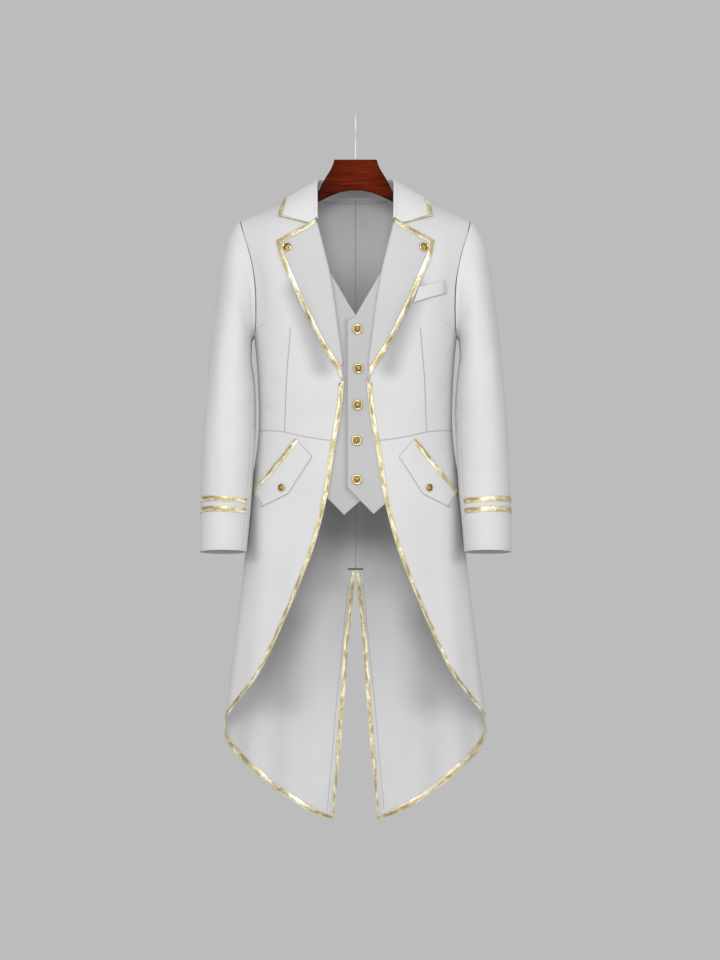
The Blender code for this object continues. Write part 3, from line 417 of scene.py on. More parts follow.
SIDES = (("right", 1), ("left", -1))


# Smooth lines through tables.

def between(before, start, end, after, share):
    """A Catmull-Rom step from start to end; the four may be numbers or vectors."""
    leave = (end - before) * 0.5
    arrive = (after - start) * 0.5
    square, cube = share ** 2, share ** 3
    step = start * (2 * cube - 3 * square + 1) + end * (3 * square - 2 * cube)
    return step + leave * (cube - 2 * square + share) + arrive * (cube - square)


def along(values, spot):
    """The smooth value at a spot counted in rows of a list, from 0 to its last row."""
    last = len(values) - 1
    row = min(int(spot), last - 1)
    start, end = values[row], values[row + 1]
    before = values[row - 1] if row > 0 else start * 2 - end
    after = values[row + 2] if row + 2 <= last else end * 2 - start
    return between(before, start, end, after, spot - row)


def row_of(table, key):
    """Where a key falls in a table whose first column rises, counted in rows."""
    last = len(table) - 1
    for row in range(last):
        if key < table[row + 1][0]:
            return max((key - table[row][0]) / (table[row + 1][0] - table[row][0]), 0) + row
    return float(last)


def column(table, key, index):
    """A column's smooth value at a key."""
    return along([row[index] for row in table], row_of(table, key))


def spread(points, count, stretch=(1, 1, 1)):
    """count + 1 points, evenly apart, on the smooth line through some points."""
    points = [Vector(p).to_3d() for p in points]
    fine = [along(points, i / 12) for i in range(12 * (len(points) - 1))] + [points[-1]]
    scale = Vector(stretch)
    lengths = [0.0]
    for a, b in zip(fine, fine[1:]):
        lengths.append(lengths[-1] + ((b - a) * scale).length)
    even, row = [], 0
    for i in range(count + 1):
        goal = lengths[-1] * i / count
        while row < len(fine) - 2 and lengths[row + 1] < goal:
            row += 1
        span = max(lengths[row + 1] - lengths[row], 1e-9)
        even.append(fine[row].lerp(fine[row + 1], min((goal - lengths[row]) / span, 1)))
    return even


def ease(share):
    share = min(max(share, 0), 1)
    return share * share * (3 - 2 * share)


# The body surface that the coat is cut on.

def shoulder_drop(across):
    """The drop of the shoulder line; it levels off smoothly inside the neck."""
    across = abs(across)
    if across > NECK_HALF:
        return NECK_DROP + SHOULDER_SLOPE * (across - NECK_HALF)
    return NECK_DROP - SHOULDER_SLOPE * (NECK_HALF ** 2 - across ** 2) / (2 * NECK_HALF)


def fall(down):
    """How far below the shoulder line a length down the rounded shoulder reaches."""
    turned = min(abs(down) / SHOULDER_ROUND, math.pi / 2)
    return SHOULDER_ROUND * (1 - math.cos(turned)) + abs(down) - SHOULDER_ROUND * turned


def down_for(drop_below):
    """The length down the cloth that falls this far below the shoulder line."""
    if drop_below <= 0:
        return 0.0
    if drop_below < SHOULDER_ROUND:
        return SHOULDER_ROUND * math.acos(1 - drop_below / SHOULDER_ROUND)
    return drop_below + SHOULDER_ROUND * (math.pi / 2 - 1)


def place(across, drop, back=False):
    """The (turn, down) place seen at a width and a drop on the front or the back."""
    share = min(abs(across) / column(BODY, drop, HALF_WIDTH), 1)
    turn = math.asin(share ** (SECTION_POWER / 2))
    turn = math.pi - turn if back else turn
    return Vector((math.copysign(turn, across), down_for(drop - shoulder_drop(across)), 0))


def side_place(turn, drop):
    """The place at a turn near the side and a drop."""
    across = column(BODY, drop, HALF_WIDTH) * math.sin(turn) ** (2 / SECTION_POWER)
    return Vector((turn, down_for(drop - shoulder_drop(across)), 0))


def surface(at):
    """The point of the body surface at a place, at +X for a positive turn."""
    turn, down = at[0], at[1]
    sine, cosine = math.sin(turn), math.cos(turn)
    out = math.copysign(abs(sine) ** (2 / SECTION_POWER), sine)
    depth = abs(cosine) ** (2 / SECTION_POWER) * math.sin(min(down / SHOULDER_ROUND, math.pi / 2))
    drop = NECK_DROP + fall(down)
    for _ in range(6):
        across = column(BODY, drop, HALF_WIDTH) * out
        drop = shoulder_drop(across) + fall(down)
    flute = FLUTE_DEPTH * ease((drop - FLUTE_START) / (FLUTE_FULL - FLUTE_START))
    flute *= math.cos(FLUTES_ROUND * turn) * abs(cosine)
    if cosine > 0:
        return Vector((across, -column(BODY, drop, FRONT_DEPTH) * depth - flute, -drop))
    return Vector((across, column(BODY, drop, BACK_DEPTH) * depth + flute, -drop))


def slopes(at):
    """The surface's change for one radian of turn and for one millimetre down."""
    step_turn, step_down = 0.01, 1.0
    turn, down = at[0], at[1]
    round_it = surface((turn + step_turn, down)) - surface((turn - step_turn, down))
    down_it = surface((turn, down + step_down)) - surface((turn, down - step_down))
    return round_it / (2 * step_turn), down_it / (2 * step_down)


def outward(at):
    round_it, down_it = slopes(at)
    return down_it.cross(round_it).normalized()


def lifted(at, lift):
    return surface(at) + outward(at) * lift


def inset(line, width):
    """The line of places moved to its left by a width, measured on the cloth, with mitred corners."""
    moved = []
    for i, at in enumerate(line):
        round_it, down_it = slopes(at)
        scale = Vector((round_it.length, down_it.length, 1))
        normals = []
        for a, b in ((i - 1, i), (i, i + 1)):
            if a >= 0 and b < len(line):
                way = ((line[b] - line[a]) * scale).normalized()
                normals.append(Vector((way.y, -way.x, 0)))
        if len(normals) == 2:
            both = normals[0] + normals[1]
            push = both / (1 + normals[0].dot(normals[1]))
        else:
            push = normals[0]
        moved.append(at + Vector((push.x / scale.x, push.y / scale.y, 0)) * width)
    return moved


def patch(top, foot, left, right):
    """Rows of places that fill four edges with shared corners (a Coons patch)."""
    wide, high = len(top) - 1, len(left) - 1
    rows = []
    for j in range(high + 1):
        v = j / high
        row = []
        for i in range(wide + 1):
            u = i / wide
            ruled = top[i].lerp(foot[i], v) + left[j].lerp(right[j], u)
            corners = top[0].lerp(top[-1], u).lerp(foot[0].lerp(foot[-1], u), v)
            row.append(ruled - corners)
        rows.append(row)
    return rows


def edge(*pieces):
    """Places along a line made of smooth pieces, each (places, count), which meet at corners."""
    line = []
    for points, count in pieces:
        line += spread(points, count, (GIRTH_RADIUS, 1, 1))[1 if line else 0:]
    return line


def places(points, back=False):
    return [place(across, drop, back) for across, drop in points]


# Soft folds.

def fold_strength(flat, line, half_width):
    """How strongly each flat point lies on a fold along a line, from 0 to 1; a fold fades at its ends."""
    best = np.zeros(len(flat))
    pieces = len(line) - 1
    for i in range(pieces):
        start = np.array(line[i], float)
        way = np.array(line[i + 1], float) - start
        share = np.clip((flat - start) @ way / (way @ way), 0, 1)
        off = np.linalg.norm(flat - start - share[:, None] * way, axis=1)
        taper = 0.25 + 0.75 * np.sin(math.pi * (i + share) / pieces)
        best = np.maximum(best, np.exp(-(off / half_width) ** 2) * taper)
    return best


def settled(points):
    """The body's points, an n by 3 array, moved out or in on the soft folds."""
    across, ahead, drops = points[:, 0], points[:, 1], -points[:, 2]
    front = ahead < 0
    table = np.array(BODY, float)
    wide = np.interp(drops, table[:, 0], table[:, HALF_WIDTH])
    deep = np.where(front, np.interp(drops, table[:, 0], table[:, FRONT_DEPTH]),
                    np.interp(drops, table[:, 0], table[:, BACK_DEPTH]))
    out_x = np.sign(across) * np.abs(across / wide) ** (SECTION_POWER - 1) / wide
    out_y = np.sign(ahead) * np.abs(ahead / deep) ** (SECTION_POWER - 1) / deep
    way = np.stack((out_x, out_y, np.zeros(len(points))), axis=1)
    way /= np.maximum(np.linalg.norm(way, axis=1, keepdims=True), 1e-9)
    flat = np.stack((across, drops), axis=1)
    height = np.zeros(len(points))
    for on_back, half_width, out, line in FOLDS:
        height += out * fold_strength(flat, line, half_width) * (front != on_back)
    height += RIPPLE * np.sin(across / 31 + drops / 57) * np.sin(drops / 43 - across / 71 + 1.3)
    fade = np.clip(np.abs(ahead) / SIDE_FADE, 0, 1)
    return points + way * (height * fade)[:, None]


# Pieces.

def add_piece(node, data, look):
    """A piece that stands for one node of the frame, in the look given."""
    made = bpy.data.objects.new(node + "_look", data)
    data.materials.append(look)
    bpy.context.scene.collection.objects.link(made)
    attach(made, "root")
    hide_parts(node)
    return made


def sheet(name, rows, thick, look, side=1, folds=True):
    """A wall on rows of points in millimetres, thickened outward; side -1 mirrors it."""
    points = np.array([(p.x * side, p.y, p.z) for row in rows for p in row])
    if folds:
        points = settled(points)
    wide = len(rows[0])
    faces = []
    for j in range(len(rows) - 1):
        for i in range(wide - 1):
            corner = j * wide + i
            face = (corner, corner + wide, corner + wide + 1, corner + 1)
            faces.append(face if side > 0 else face[::-1])
    mesh = bpy.data.meshes.new(name)
    mesh.from_pydata((points * MM).tolist(), [], faces)
    mesh.validate()
    if look is TWILL:
        look = TWILLS.get(name, TWILLS.get(name.rsplit("_", 1)[0], TWILL))
    made = add_piece(name, mesh, look)
    mesh.shade_smooth()
    if look is GOLD:
        mark_ribbon(mesh, points, len(rows), wide)
    wall = made.modifiers.new("cloth", "SOLIDIFY")
    wall.thickness = thick * MM
    wall.offset = 1
    soft = made.modifiers.new("turned_edge", "BEVEL")
    soft.width = thick * MM * 0.3
    soft.segments = 2
    soft.limit_method = "ANGLE"
    soft.angle_limit = math.radians(60)
    width, length, flat_area, held, carrier = cut_of(name)


def cut_of(name):
    """The flat cut of a piece, how it's held and what carries it."""
    width, length, area, held, carrier = CUTS[name.replace("_left", "").replace("_right", "")]
    if carrier.endswith("_"):
        carrier += name.rsplit("_", 1)[-1]
    return width, length, area, held, carrier


def mark_ribbon(mesh, points, rows, wide):
    """Gives a ribbon's points their place along it, in millimetres, and their share across it."""
    grid = points.reshape(rows, wide, 3)
    if rows < wide:
        grid = grid.transpose(1, 0, 2)
    steps = np.linalg.norm(np.diff(grid[:, 0], axis=0), axis=1)
    down = np.repeat(np.concatenate(([0], np.cumsum(steps))), grid.shape[1]).reshape(grid.shape[:2])
    share = np.tile(np.linspace(0, 1, grid.shape[1]), (grid.shape[0], 1))
    for title, values in (("down_ribbon", down), ("across_ribbon", share)):
        values = (values if rows >= wide else values.T).ravel().astype(np.float32)
        mesh.attributes.new(title, "FLOAT", "POINT").data.foreach_set("value", values)


def ribbon(name, pairs, thick, side=1, folds=True):
    """A ribbon between pairs of points."""
    rows = []
    for near, far in pairs:
        rows.append([near.lerp(far, i / RIBBON_STEPS) for i in range(RIBBON_STEPS + 1)])
    sheet(name, rows, thick, GOLD, side, folds)


def laid(rows, lift, back_shift=0.0):
    """Rows of places as points, lifted off the body and shifted towards the back."""
    shift = Vector((0, back_shift, 0))
    return [[lifted(at, lift) + shift for at in row] for row in rows]


# The outline of the coat's open edges: front edge, tail hem, then up the vent.

def outline():
    """The open edge as places: front edge and hem, then the vent."""
    side = [side_place(math.pi / 2, TAIL_SIDE_DROP)]
    round_it = places(FRONT_EDGE) + side + places(TAIL_HEM, back=True)
    return edge((round_it, OUTLINE_STEPS), (places(VENT_EDGE, back=True), VENT_STEPS))


def turn_of(at):
    return at.x


def drop_of(at):
    return -surface(at).z


def cut_at(line, value, measure):
    """The parts of a line before and after its measure reaches a value; both have the place there."""
    for i, (a, b) in enumerate(zip(line, line[1:])):
        low, high = measure(a), measure(b)
        if low < value <= high:
            meet = a.lerp(b, (value - low) / (high - low))
            return line[:i + 1] + [meet], [meet] + line[i + 1:]
    raise ValueError("the line doesn't reach this value")


def waist(first, drop_shift):
    """The waist seam as places from the front edge to the side seam."""
    line = [first] + [place(across, drop + drop_shift) for across, drop in WAIST_LINE[1:]]
    return line + [side_place(SIDE_TURN, WAIST_SIDE_DROP + drop_shift)]


def side_line(high, low, steps):
    """Places down the side seam from one drop to another."""
    return [side_place(SIDE_TURN, high + (low - high) * i / steps) for i in range(steps + 1)]


def make_fronts(panel_edge, side_name, side):
    above, _ = cut_at(panel_edge, WAIST_LINE[0][1] - CENTRE, drop_of)
    roll = [at + Vector((EDGE_GAP / GIRTH_RADIUS, 0, 0)) for at in places(ROLL_LINE)]
    left = edge((places(FRONT_NECK), NECK_COLUMNS), (roll, ROLL_STEPS)) + above
    side_seam = [side_place(SIDE_TURN, drop) for drop in (*FRONT_SIDE_DROPS, WAIST_SIDE_DROP - CENTRE)]
    armhole = places(FRONT_ARMHOLE)
    right = edge((armhole, FRONT_ARMHOLE_STEPS), ([armhole[-1], side_seam[0]], 1),
                 (side_seam, len(left) - 2 - FRONT_ARMHOLE_STEPS))
    top = edge((places((FRONT_NECK[0], (SHOULDER_HALF, FRONT_ARMHOLE[0][1]))), PANEL_COLUMNS))
    foot = edge((waist(left[-1], -CENTRE), PANEL_COLUMNS))
    sheet("front_" + side_name, laid(patch(top, foot, left, right), 0, -CENTRE), CLOTH, TWILL, side)


def make_skirts(panel_edge, side_name, side):
    _, below = cut_at(panel_edge, WAIST_LINE[0][1] + CENTRE, drop_of)
    below, _ = cut_at(below, SIDE_TURN, turn_of)
    left, foot_line = cut_at(below, SKIRT_FOOT_TURN, turn_of)
    right = edge((side_line(WAIST_SIDE_DROP + CENTRE, drop_of(foot_line[-1]), 8), len(left) - 1))
    top = edge((waist(left[0], CENTRE), PANEL_COLUMNS))
    foot = edge((foot_line, PANEL_COLUMNS))
    sheet("skirt_" + side_name, laid(patch(top, foot, left, right), 0, -CENTRE), CLOTH, TWILL, side)


def make_backs(panel_edge, side_name, side):
    _, hem_line = cut_at(panel_edge[:OUTLINE_STEPS + 1], SIDE_TURN, turn_of)
    foot = hem_line[::-1]
    seam = places([(CENTRE, drop) for drop in BACK_SEAM_DROPS], True)
    left = edge((seam, BACK_SEAM_STEPS)) + panel_edge[:OUTLINE_STEPS - 1:-1]
    side_seam = side_line(UNDERARM_DROP, drop_of(foot[-1]), 12)
    armhole = places(BACK_ARMHOLE, True)
    right = edge((armhole, BACK_ARMHOLE_STEPS), ([armhole[-1], side_seam[0]], 1),
                 (side_seam, len(left) - 2 - BACK_ARMHOLE_STEPS))
    shoulder = places((BACK_NECK[-1], (SHOULDER_HALF, BACK_ARMHOLE[0][1])), True)
    top = edge((places(BACK_NECK, True), NECK_COLUMNS), (shoulder, len(foot) - 1 - NECK_COLUMNS))
    flipped = [row[::-1] for row in patch(top, foot, left, right)]
    sheet("back_" + side_name, laid(flipped, 0, CENTRE), CLOTH, TWILL, side)


def make_edge_ribbons(open_edge, side_name, side):
    """The ribbon down the front edge and round the hem, and the one up the vent, mitred at the tail."""
    inner = inset(open_edge, RIBBON_WIDTH)
    pairs = laid(zip(open_edge, inner), RIBBON_LIFT)
    start = [a.lerp(b, -RUN_UP_STEPS) + Vector((0, RUN_UP_SINK, 0)) for a, b in zip(pairs[0], pairs[1])]
    pairs[0] = [start[0], start[0].lerp(start[1], 0.5)]
    ribbon("front_ribbon_" + side_name, pairs[:OUTLINE_STEPS + 1], RIBBON_THICK, side)
    vent_pairs = pairs[OUTLINE_STEPS:]
    share = MITRE_GAP / (vent_pairs[1][0] - vent_pairs[0][0]).length
    vent_pairs[0] = [a.lerp(b, share) for a, b in zip(vent_pairs[0], vent_pairs[1])]
    ribbon("vent_ribbon_" + side_name, vent_pairs, RIBBON_THICK, side)


# The lapel.

def lapel_point(line_share, out, roll, free):
    """A point of the lapel's under face, at a share down the roll line and a distance out from it."""
    index = line_share * LAPEL_ROWS
    start, end = along(roll, index), along(free, index)
    width = (end - start).length
    share = out / width
    seen = start.lerp(end, share)
    bend = NOTCH_BEND * max(1 - line_share * 5, 0)
    notch = NOTCH_REACH / width
    seen.y += bend * (share / notch if share < notch else max(1 - share, 0) / (1 - notch))
    lift = LAPEL_LIFT + LAPEL_PUFF * math.sin(math.pi * min(max(share, 0), 1)) * (1 - line_share)
    for (near, low), (far, high) in zip(LAPEL_ROLL, LAPEL_ROLL[1:]):
        if near <= out < far:
            lift = min(lift, low + (high - low) * (out - near) / (far - near))
    return lifted(place(seen.x, seen.y), lift)


def make_lapels(side_name, side):
    roll, free = spread(ROLL_LINE, LAPEL_ROWS), spread(LAPEL_EDGE, LAPEL_ROWS)

    def width_at(share):
        return (along(free, share * LAPEL_ROWS) - along(roll, share * LAPEL_ROWS)).length

    def point_at(share, out):
        return lapel_point(share, out, roll, free)

    whole_rows = [i / LAPEL_ROWS for i in range(1, LAPEL_ROWS + 1)]
    top_share = RIBBON_WIDTH / (roll[1] - roll[0]).length / LAPEL_ROWS
    first = top_share + EDGE_GAP / ROLL_LENGTH
    last = max(share for share in whole_rows if width_at(share) > RIBBON_WIDTH + LAPEL_STOP)
    rows = []
    for share in [first] + [share for share in whole_rows if first + LEAST_ROW_SHARE < share <= last]:
        reach = width_at(share) - RIBBON_WIDTH - EDGE_GAP
        inner = LAPEL_ROLL[-1][0] if reach > LAPEL_NARROW else reach * LAPEL_NARROW_SHARE
        fold = along(roll, share * LAPEL_ROWS)
        row = [lifted(place(fold.x, fold.y), 0), lifted(place(fold.x, fold.y), LAPEL_ROLL[1][1])]
        outs = [inner + (reach - inner) * i / LAPEL_COLUMNS for i in range(LAPEL_COLUMNS + 1)]
        rows.append(row + [point_at(share, out) for out in [LAPEL_ROLL[2][0]] + outs])
    sheet("lapel_" + side_name, rows, CLOTH, TWILL, side)

    pairs = []
    steps = LAPEL_COLUMNS + 1
    for i in range(steps + 1):
        out = 1.0 + (width_at(0) - RIBBON_WIDTH - 1.0) * i / steps
        pairs.append([point_at(top_share, out), point_at(0, out if i < steps else width_at(0))])
    for share in whole_rows:
        if share > top_share + TOP_RIBBON_SHARE:
            width = width_at(share)
            inner = max(width - RIBBON_WIDTH, 0.4 * width if width < 8 else 1.0)
            pairs.append([point_at(share, inner), point_at(share, width)])
    ribbon("lapel_ribbon_" + side_name, pairs, RIBBON_THICK, side)


# The collar.

def neck_line():
    """Points round the neck seam as the coat's own edges have them, from the middle of the back."""
    back = [surface(at) for at in edge((places(BACK_NECK, True), NECK_COLUMNS))]
    front = [surface(at) for at in edge((places(FRONT_NECK), NECK_COLUMNS))]
    return back + front[1:]


def mirrored(rows):
    return [[Vector((-p.x, p.y, p.z)) for p in row] for row in rows]


def collar_guides(far):
    """The fold's top, the free edge and the level way between them at a share round the neck."""
    across, ahead, drop = (column(COLLAR_FOLD, far, index) for index in (1, 2, 3))
    fold, free = Vector((across, -ahead, -drop)), along(EDGE_POINTS, row_of(COLLAR_EDGE, far))
    return fold, free, Vector((free.x - fold.x, free.y - fold.y, 0)).normalized()


def share_before_edge(far, width):
    """The share from the fold to the free edge that stops short of the edge by a width."""
    fold, free, _ = collar_guides(far)
    return 1 - width / (free - fold).length


def leaf_point(far, share):
    """A point of the collar leaf's under face, at a share from the fold to the free edge."""
    fold, free, way = collar_guides(far)
    start = fold + way * FOLD_HALF + Vector((0, 0, -COLLAR_CLOTH - FOLD_HALF))
    point = start.lerp(free, share)
    end_share = ease((far - END_CURVE_START) / (1 - END_CURVE_START))
    if end_share > 0:
        notch = lifted(place(*LAPEL_NOTCH), COLLAR_LIFT) + Vector((0, 0, GORGE_GAP))
        if share < NOTCH_SHARE:
            bent = start.lerp(notch, share / NOTCH_SHARE)
        else:
            bent = notch.lerp(free, (share - NOTCH_SHARE) / (1 - NOTCH_SHARE))
        point = point.lerp(bent, end_share)
    return clear_of_coat(point)


def clear_of_coat(point):
    """The point moved out where it would be nearer the coat than the collar's lift."""
    if -point.z < shoulder_drop(point.x) + OVER_SHOULDER:
        return point
    back = point.y > 0
    at = place(point.x, -point.z, back)
    face = outward(at)
    skin = surface(at).y + COLLAR_LIFT * math.copysign(1 / max(abs(face.y), 0.5), face.y)
    point.y = max(point.y, skin) if back else min(point.y, skin)
    return point


def collar_line(far, edge_share, foot_points):
    """The collar's line at one place round the neck, from a share of the leaf to the stand's foot."""
    fold, _, way = collar_guides(far)
    centre = fold + Vector((0, 0, -COLLAR_CLOTH - FOLD_HALF))
    turns = [math.pi * i / FOLD_STEPS for i in range(1, FOLD_STEPS + 1)]
    over = [centre + (way * math.cos(a) + Vector((0, 0, math.sin(a)))) * FOLD_HALF for a in turns]
    spot = far * (len(foot_points) - 1)
    step = min(int(spot), len(foot_points) - 2)
    foot = foot_points[step].lerp(foot_points[step + 1], spot - step)
    foot += Vector((-foot.x, -NECK_CENTRE - foot.y, 0)).normalized() * FOOT_GAP
    leaf = [leaf_point(far, edge_share * i / LEAF_STEPS) for i in range(LEAF_STEPS, -1, -1)]
    stand = [over[-1].lerp(foot, i / STAND_STEPS) for i in range(1, STAND_STEPS + 1)]
    return leaf + over + stand


def make_collar():
    foot_points = neck_line()
    fars = [CLOTH_END_SHARE * i / COLLAR_STEPS for i in range(COLLAR_STEPS + 1)]
    half = []
    for far in fars + [1]:
        reach = share_before_edge(far, RIBBON_WIDTH + EDGE_GAP)
        half.append(collar_line(far, reach, foot_points))
    # Outside the notch the ribbon takes the collar's end, so the cloth stops short of it there.
    for i in range(LEAF_STEPS + 1):
        if reach * (LEAF_STEPS - i) / LEAF_STEPS > NOTCH_SHARE + NOTCH_CLEAR:
            half[-1][i] = half[-2][i].lerp(half[-1][i], CLOTH_UNDER_RIBBON)
    lines = mirrored(half[:0:-1]) + half
    sheet("collar", list(zip(*lines)), COLLAR_CLOTH, TWILL, folds=False)

    pairs = []
    stop = share_before_edge(1, RIBBON_WIDTH)
    for i in range(COLLAR_END_STEPS + 1):
        share = NOTCH_SHARE + (1 - NOTCH_SHARE) * i / COLLAR_END_STEPS
        within = leaf_point(RIBBON_END_SHARE, min(max(share, NOTCH_SHARE + MITRE_SHARE), stop))
        pairs.append([leaf_point(1, share), within])
    for far in reversed(fars[:-1]):
        pairs.append([leaf_point(far, 1), leaf_point(far, share_before_edge(far, RIBBON_WIDTH))])
    ribbon("collar_ribbon", pairs + mirrored(pairs[-2::-1]), RIBBON_THICK, folds=False)


# Sleeves.

def armhole_point(angle):
    """The sleeve's first ring: the armhole, just outside the coat's cloth."""
    back = math.sin(angle) < 0
    table = BACK_ARMHOLE if back else FRONT_ARMHOLE
    high, low = table[0][1], table[-1][1]
    drop = (high + low) / 2 - (low - high) / 2 * math.cos(angle)
    by_drop = [(row[1], row[0]) for row in table]
    at = place(column(by_drop, drop, 1), drop, back)
    return lifted(at, SLEEVE_RISE) + Vector((SLEEVE_PROUD, 0, 0))


def ring_point(ring, angle):
    """A point of a sleeve ring; the angle is 0 outside, a quarter turn at the front."""
    if ring == 0:
        return armhole_point(angle)
    outer, outer_drop, inner, inner_drop, half_depth, forward, bow = SLEEVE[ring - 1]
    share = math.cos(angle)
    ahead = half_depth * math.sin(angle)
    tilt = CUFF_TILT * ease((ring - TILT_START_RING) / (len(SLEEVE) - TILT_START_RING))
    bow *= 1 if ahead > 0 else BACK_BOW_SHARE
    across = (outer + inner) / 2 + (outer - inner) / 2 * share - bow * math.sin(angle) ** 2
    drop = (outer_drop + inner_drop) / 2 + (outer_drop - inner_drop) / 2 * share - tilt * ahead
    return Vector((across, -forward - ahead, -drop))


def sleeve_fold_heights(spots, angles, side):
    """How far each place on a sleeve stands out on its soft folds, by angle and then by spot."""
    round_it, spot = (grid.ravel() for grid in np.meshgrid(angles, spots, indexing="ij"))
    height = SLEEVE_RIPPLE * np.sin(spot * 1.9 + round_it * 3 + side)
    for sides, half_width, depth, line in SLEEVE_FOLDS:
        if side in sides:
            at = [(math.radians(degrees) * SLEEVE_RADIUS, ring * RING_STEP) for ring, degrees in line]
            for whole in (-2 * math.pi, 0, 2 * math.pi):
                flat = np.stack(((round_it + whole) * SLEEVE_RADIUS, spot * RING_STEP), axis=1)
                height += depth * fold_strength(flat, at, half_width)
    fade = np.array([ease(one / 1.2) * ease((len(SLEEVE) - one) / 0.8) for one in spot])
    return (height * fade).reshape(len(angles), len(spots))


def sleeve_rows(spots, first, last, steps, grow, side):
    """Rows of points at places between the rings, from one angle to another, grown outwards."""
    angles = [first + (last - first) * i / steps for i in range(steps + 1)]
    heights = sleeve_fold_heights(spots, angles, side)
    columns = []
    for angle, fold_heights in zip(angles, heights):
        line = [ring_point(ring, angle) for ring in range(len(SLEEVE) + 1)]
        near = [ring_point(ring, angle + 0.02) for ring in range(len(SLEEVE) + 1)]
        points = []
        for spot, height in zip(spots, fold_heights):
            point = along(line, spot)
            round_it = along(near, spot) - point
            down_it = along(line, min(spot + 0.05, len(SLEEVE))) - along(line, max(spot - 0.05, 0))
            face = round_it.cross(down_it).normalized()
            points.append(point + face * (grow + height))
        columns.append(points)
    return [[line[i] for line in columns][::-1] for i in range(len(spots))]


def make_sleeves(side_name, side):
    spots = [a + (b - a) * i / FINE for a, b in zip(SLEEVE_SPOTS, SLEEVE_SPOTS[1:]) for i in range(FINE)]
    spots.append(SLEEVE_SPOTS[-1])
    front, hind = FRONT_SLEEVE_SEAM, HIND_SLEEVE_SEAM
    ends = hind + SLEEVE_SEAM_HALF, front - SLEEVE_SEAM_HALF
    under = front + SLEEVE_SEAM_HALF, hind + 2 * math.pi - SLEEVE_SEAM_HALF
    for name, turns, steps in (("sleeve_top_", ends, TOP_SLEEVE_STEPS),
                               ("sleeve_under_", under, UNDER_SLEEVE_STEPS)):
        rows = sleeve_rows(spots, *turns, steps, -CLOTH, side)
        sheet(name + side_name, rows, CLOTH, TWILL, side, folds=False)
    for number, (low, high) in enumerate(CUFF_STRIPES, 1):
        spots = [low + (high - low) * i / RIBBON_STEPS for i in range(RIBBON_STEPS + 1)]
        rows = sleeve_rows(spots, *ends, 2 * TOP_SLEEVE_STEPS, EDGE_GAP, side)
        sheet(f"cuff_stripe_{number}_" + side_name, rows, STRIPE_THICK, GOLD, side, folds=False)


# Pieces laid on or under the fronts.

def finer(points, parts=FINE):
    """The same broken line with each stretch cut into equal parts."""
    points = [Vector(p) for p in points]
    line = [a.lerp(b, i / parts) for a, b in zip(points, points[1:]) for i in range(parts)]
    return line + [points[-1]]


def ruled_points(top, foot, rows, lift):
    """Rows of points between two lines of (across, drop), laid on the front."""
    made = []
    for j in range(rows + 1):
        line = [a.lerp(b, j / rows) for a, b in zip(top, foot)]
        made.append([lifted(place(p.x, p.y), lift) for p in line])
    return made


def make_waistcoat():
    for name, table, lift, side in (("waistcoat_right", WAISTCOAT_OVER, OVER_LIFT, 1),
                                    ("waistcoat_left", WAISTCOAT_UNDER, UNDER_LIFT, -1)):
        top = finer([(across, high) for across, high, _ in table])
        foot = finer([(across, low) for across, _, low in table])
        sheet(name, ruled_points(top, foot, WAISTCOAT_ROWS * FINE, lift), LIGHT_CLOTH, TWILL, side)


def make_flaps(side_name, side):
    seam = finer(finer(FLAP_SEAM, 6))
    near, low, tip, far = FLAP_FREE
    free = finer(finer((near, low), 3) + finer((low, tip), 2)[1:] + [far])
    sheet("flap_" + side_name, ruled_points(seam, free, 3 * FINE, LAID_LIFT), CLOTH, TWILL, side)
    stripe_foot = [a.lerp(b, min(RIBBON_WIDTH / (b - a).length, 0.9)) for a, b in zip(seam, free)]
    rows = ruled_points(seam, stripe_foot, RIBBON_STEPS, LAID_LIFT + CLOTH + EDGE_GAP)
    sheet("flap_stripe_" + side_name, rows, STRIPE_THICK, GOLD, side)


def make_welt():
    rows = ruled_points(finer(finer(WELT_TOP, 4)), finer(finer(WELT_FOOT, 4)), 2 * FINE, LAID_LIFT)
    sheet("breast_welt", rows, CLOTH, TWILL)


def make_button(name, at, lift, size, side):
    """A turned button with a petalled face, a rim and a thread shank, its face outward."""
    points, faces = [], []
    radius, height = size
    for ring, (share, rise) in enumerate(BUTTON_PROFILE):
        for i in range(BUTTON_STEPS):
            turn = 2 * math.pi * i / BUTTON_STEPS
            petal = PETAL_HEIGHT * math.cos(PETALS * turn) * math.sin(math.pi * min(share / PETAL_REACH, 1))
            high = rise + (petal if ring < PETAL_RINGS else 0)
            points.append((radius * share * math.cos(turn), radius * share * math.sin(turn), height * high))
    for ring in range(len(BUTTON_PROFILE) - 1):
        for i in range(BUTTON_STEPS):
            a, b = ring * BUTTON_STEPS + i, ring * BUTTON_STEPS + (i + 1) % BUTTON_STEPS
            faces.append((a, a + BUTTON_STEPS, b + BUTTON_STEPS, b))
    mesh = bpy.data.meshes.new(name)
    mesh.from_pydata([(x * MM, y * MM, z * MM) for x, y, z in points], [], faces)
    shell = bmesh.new()
    shell.from_mesh(mesh)
    bmesh.ops.remove_doubles(shell, verts=shell.verts, dist=1e-6)
    shell.to_mesh(mesh)
    shell.free()
    mesh.shade_smooth()
    made = add_piece(name, mesh, BUTTON_GOLD)
    face = outward(at)
    point = lifted(at, lift)
    face.x, point.x = face.x * side, point.x * side
    point = Vector(settled(np.array([tuple(point)]))[0])
    made.matrix_world = Matrix.Translation(point * MM) @ face.to_track_quat("Z", "Y").to_matrix().to_4x4()


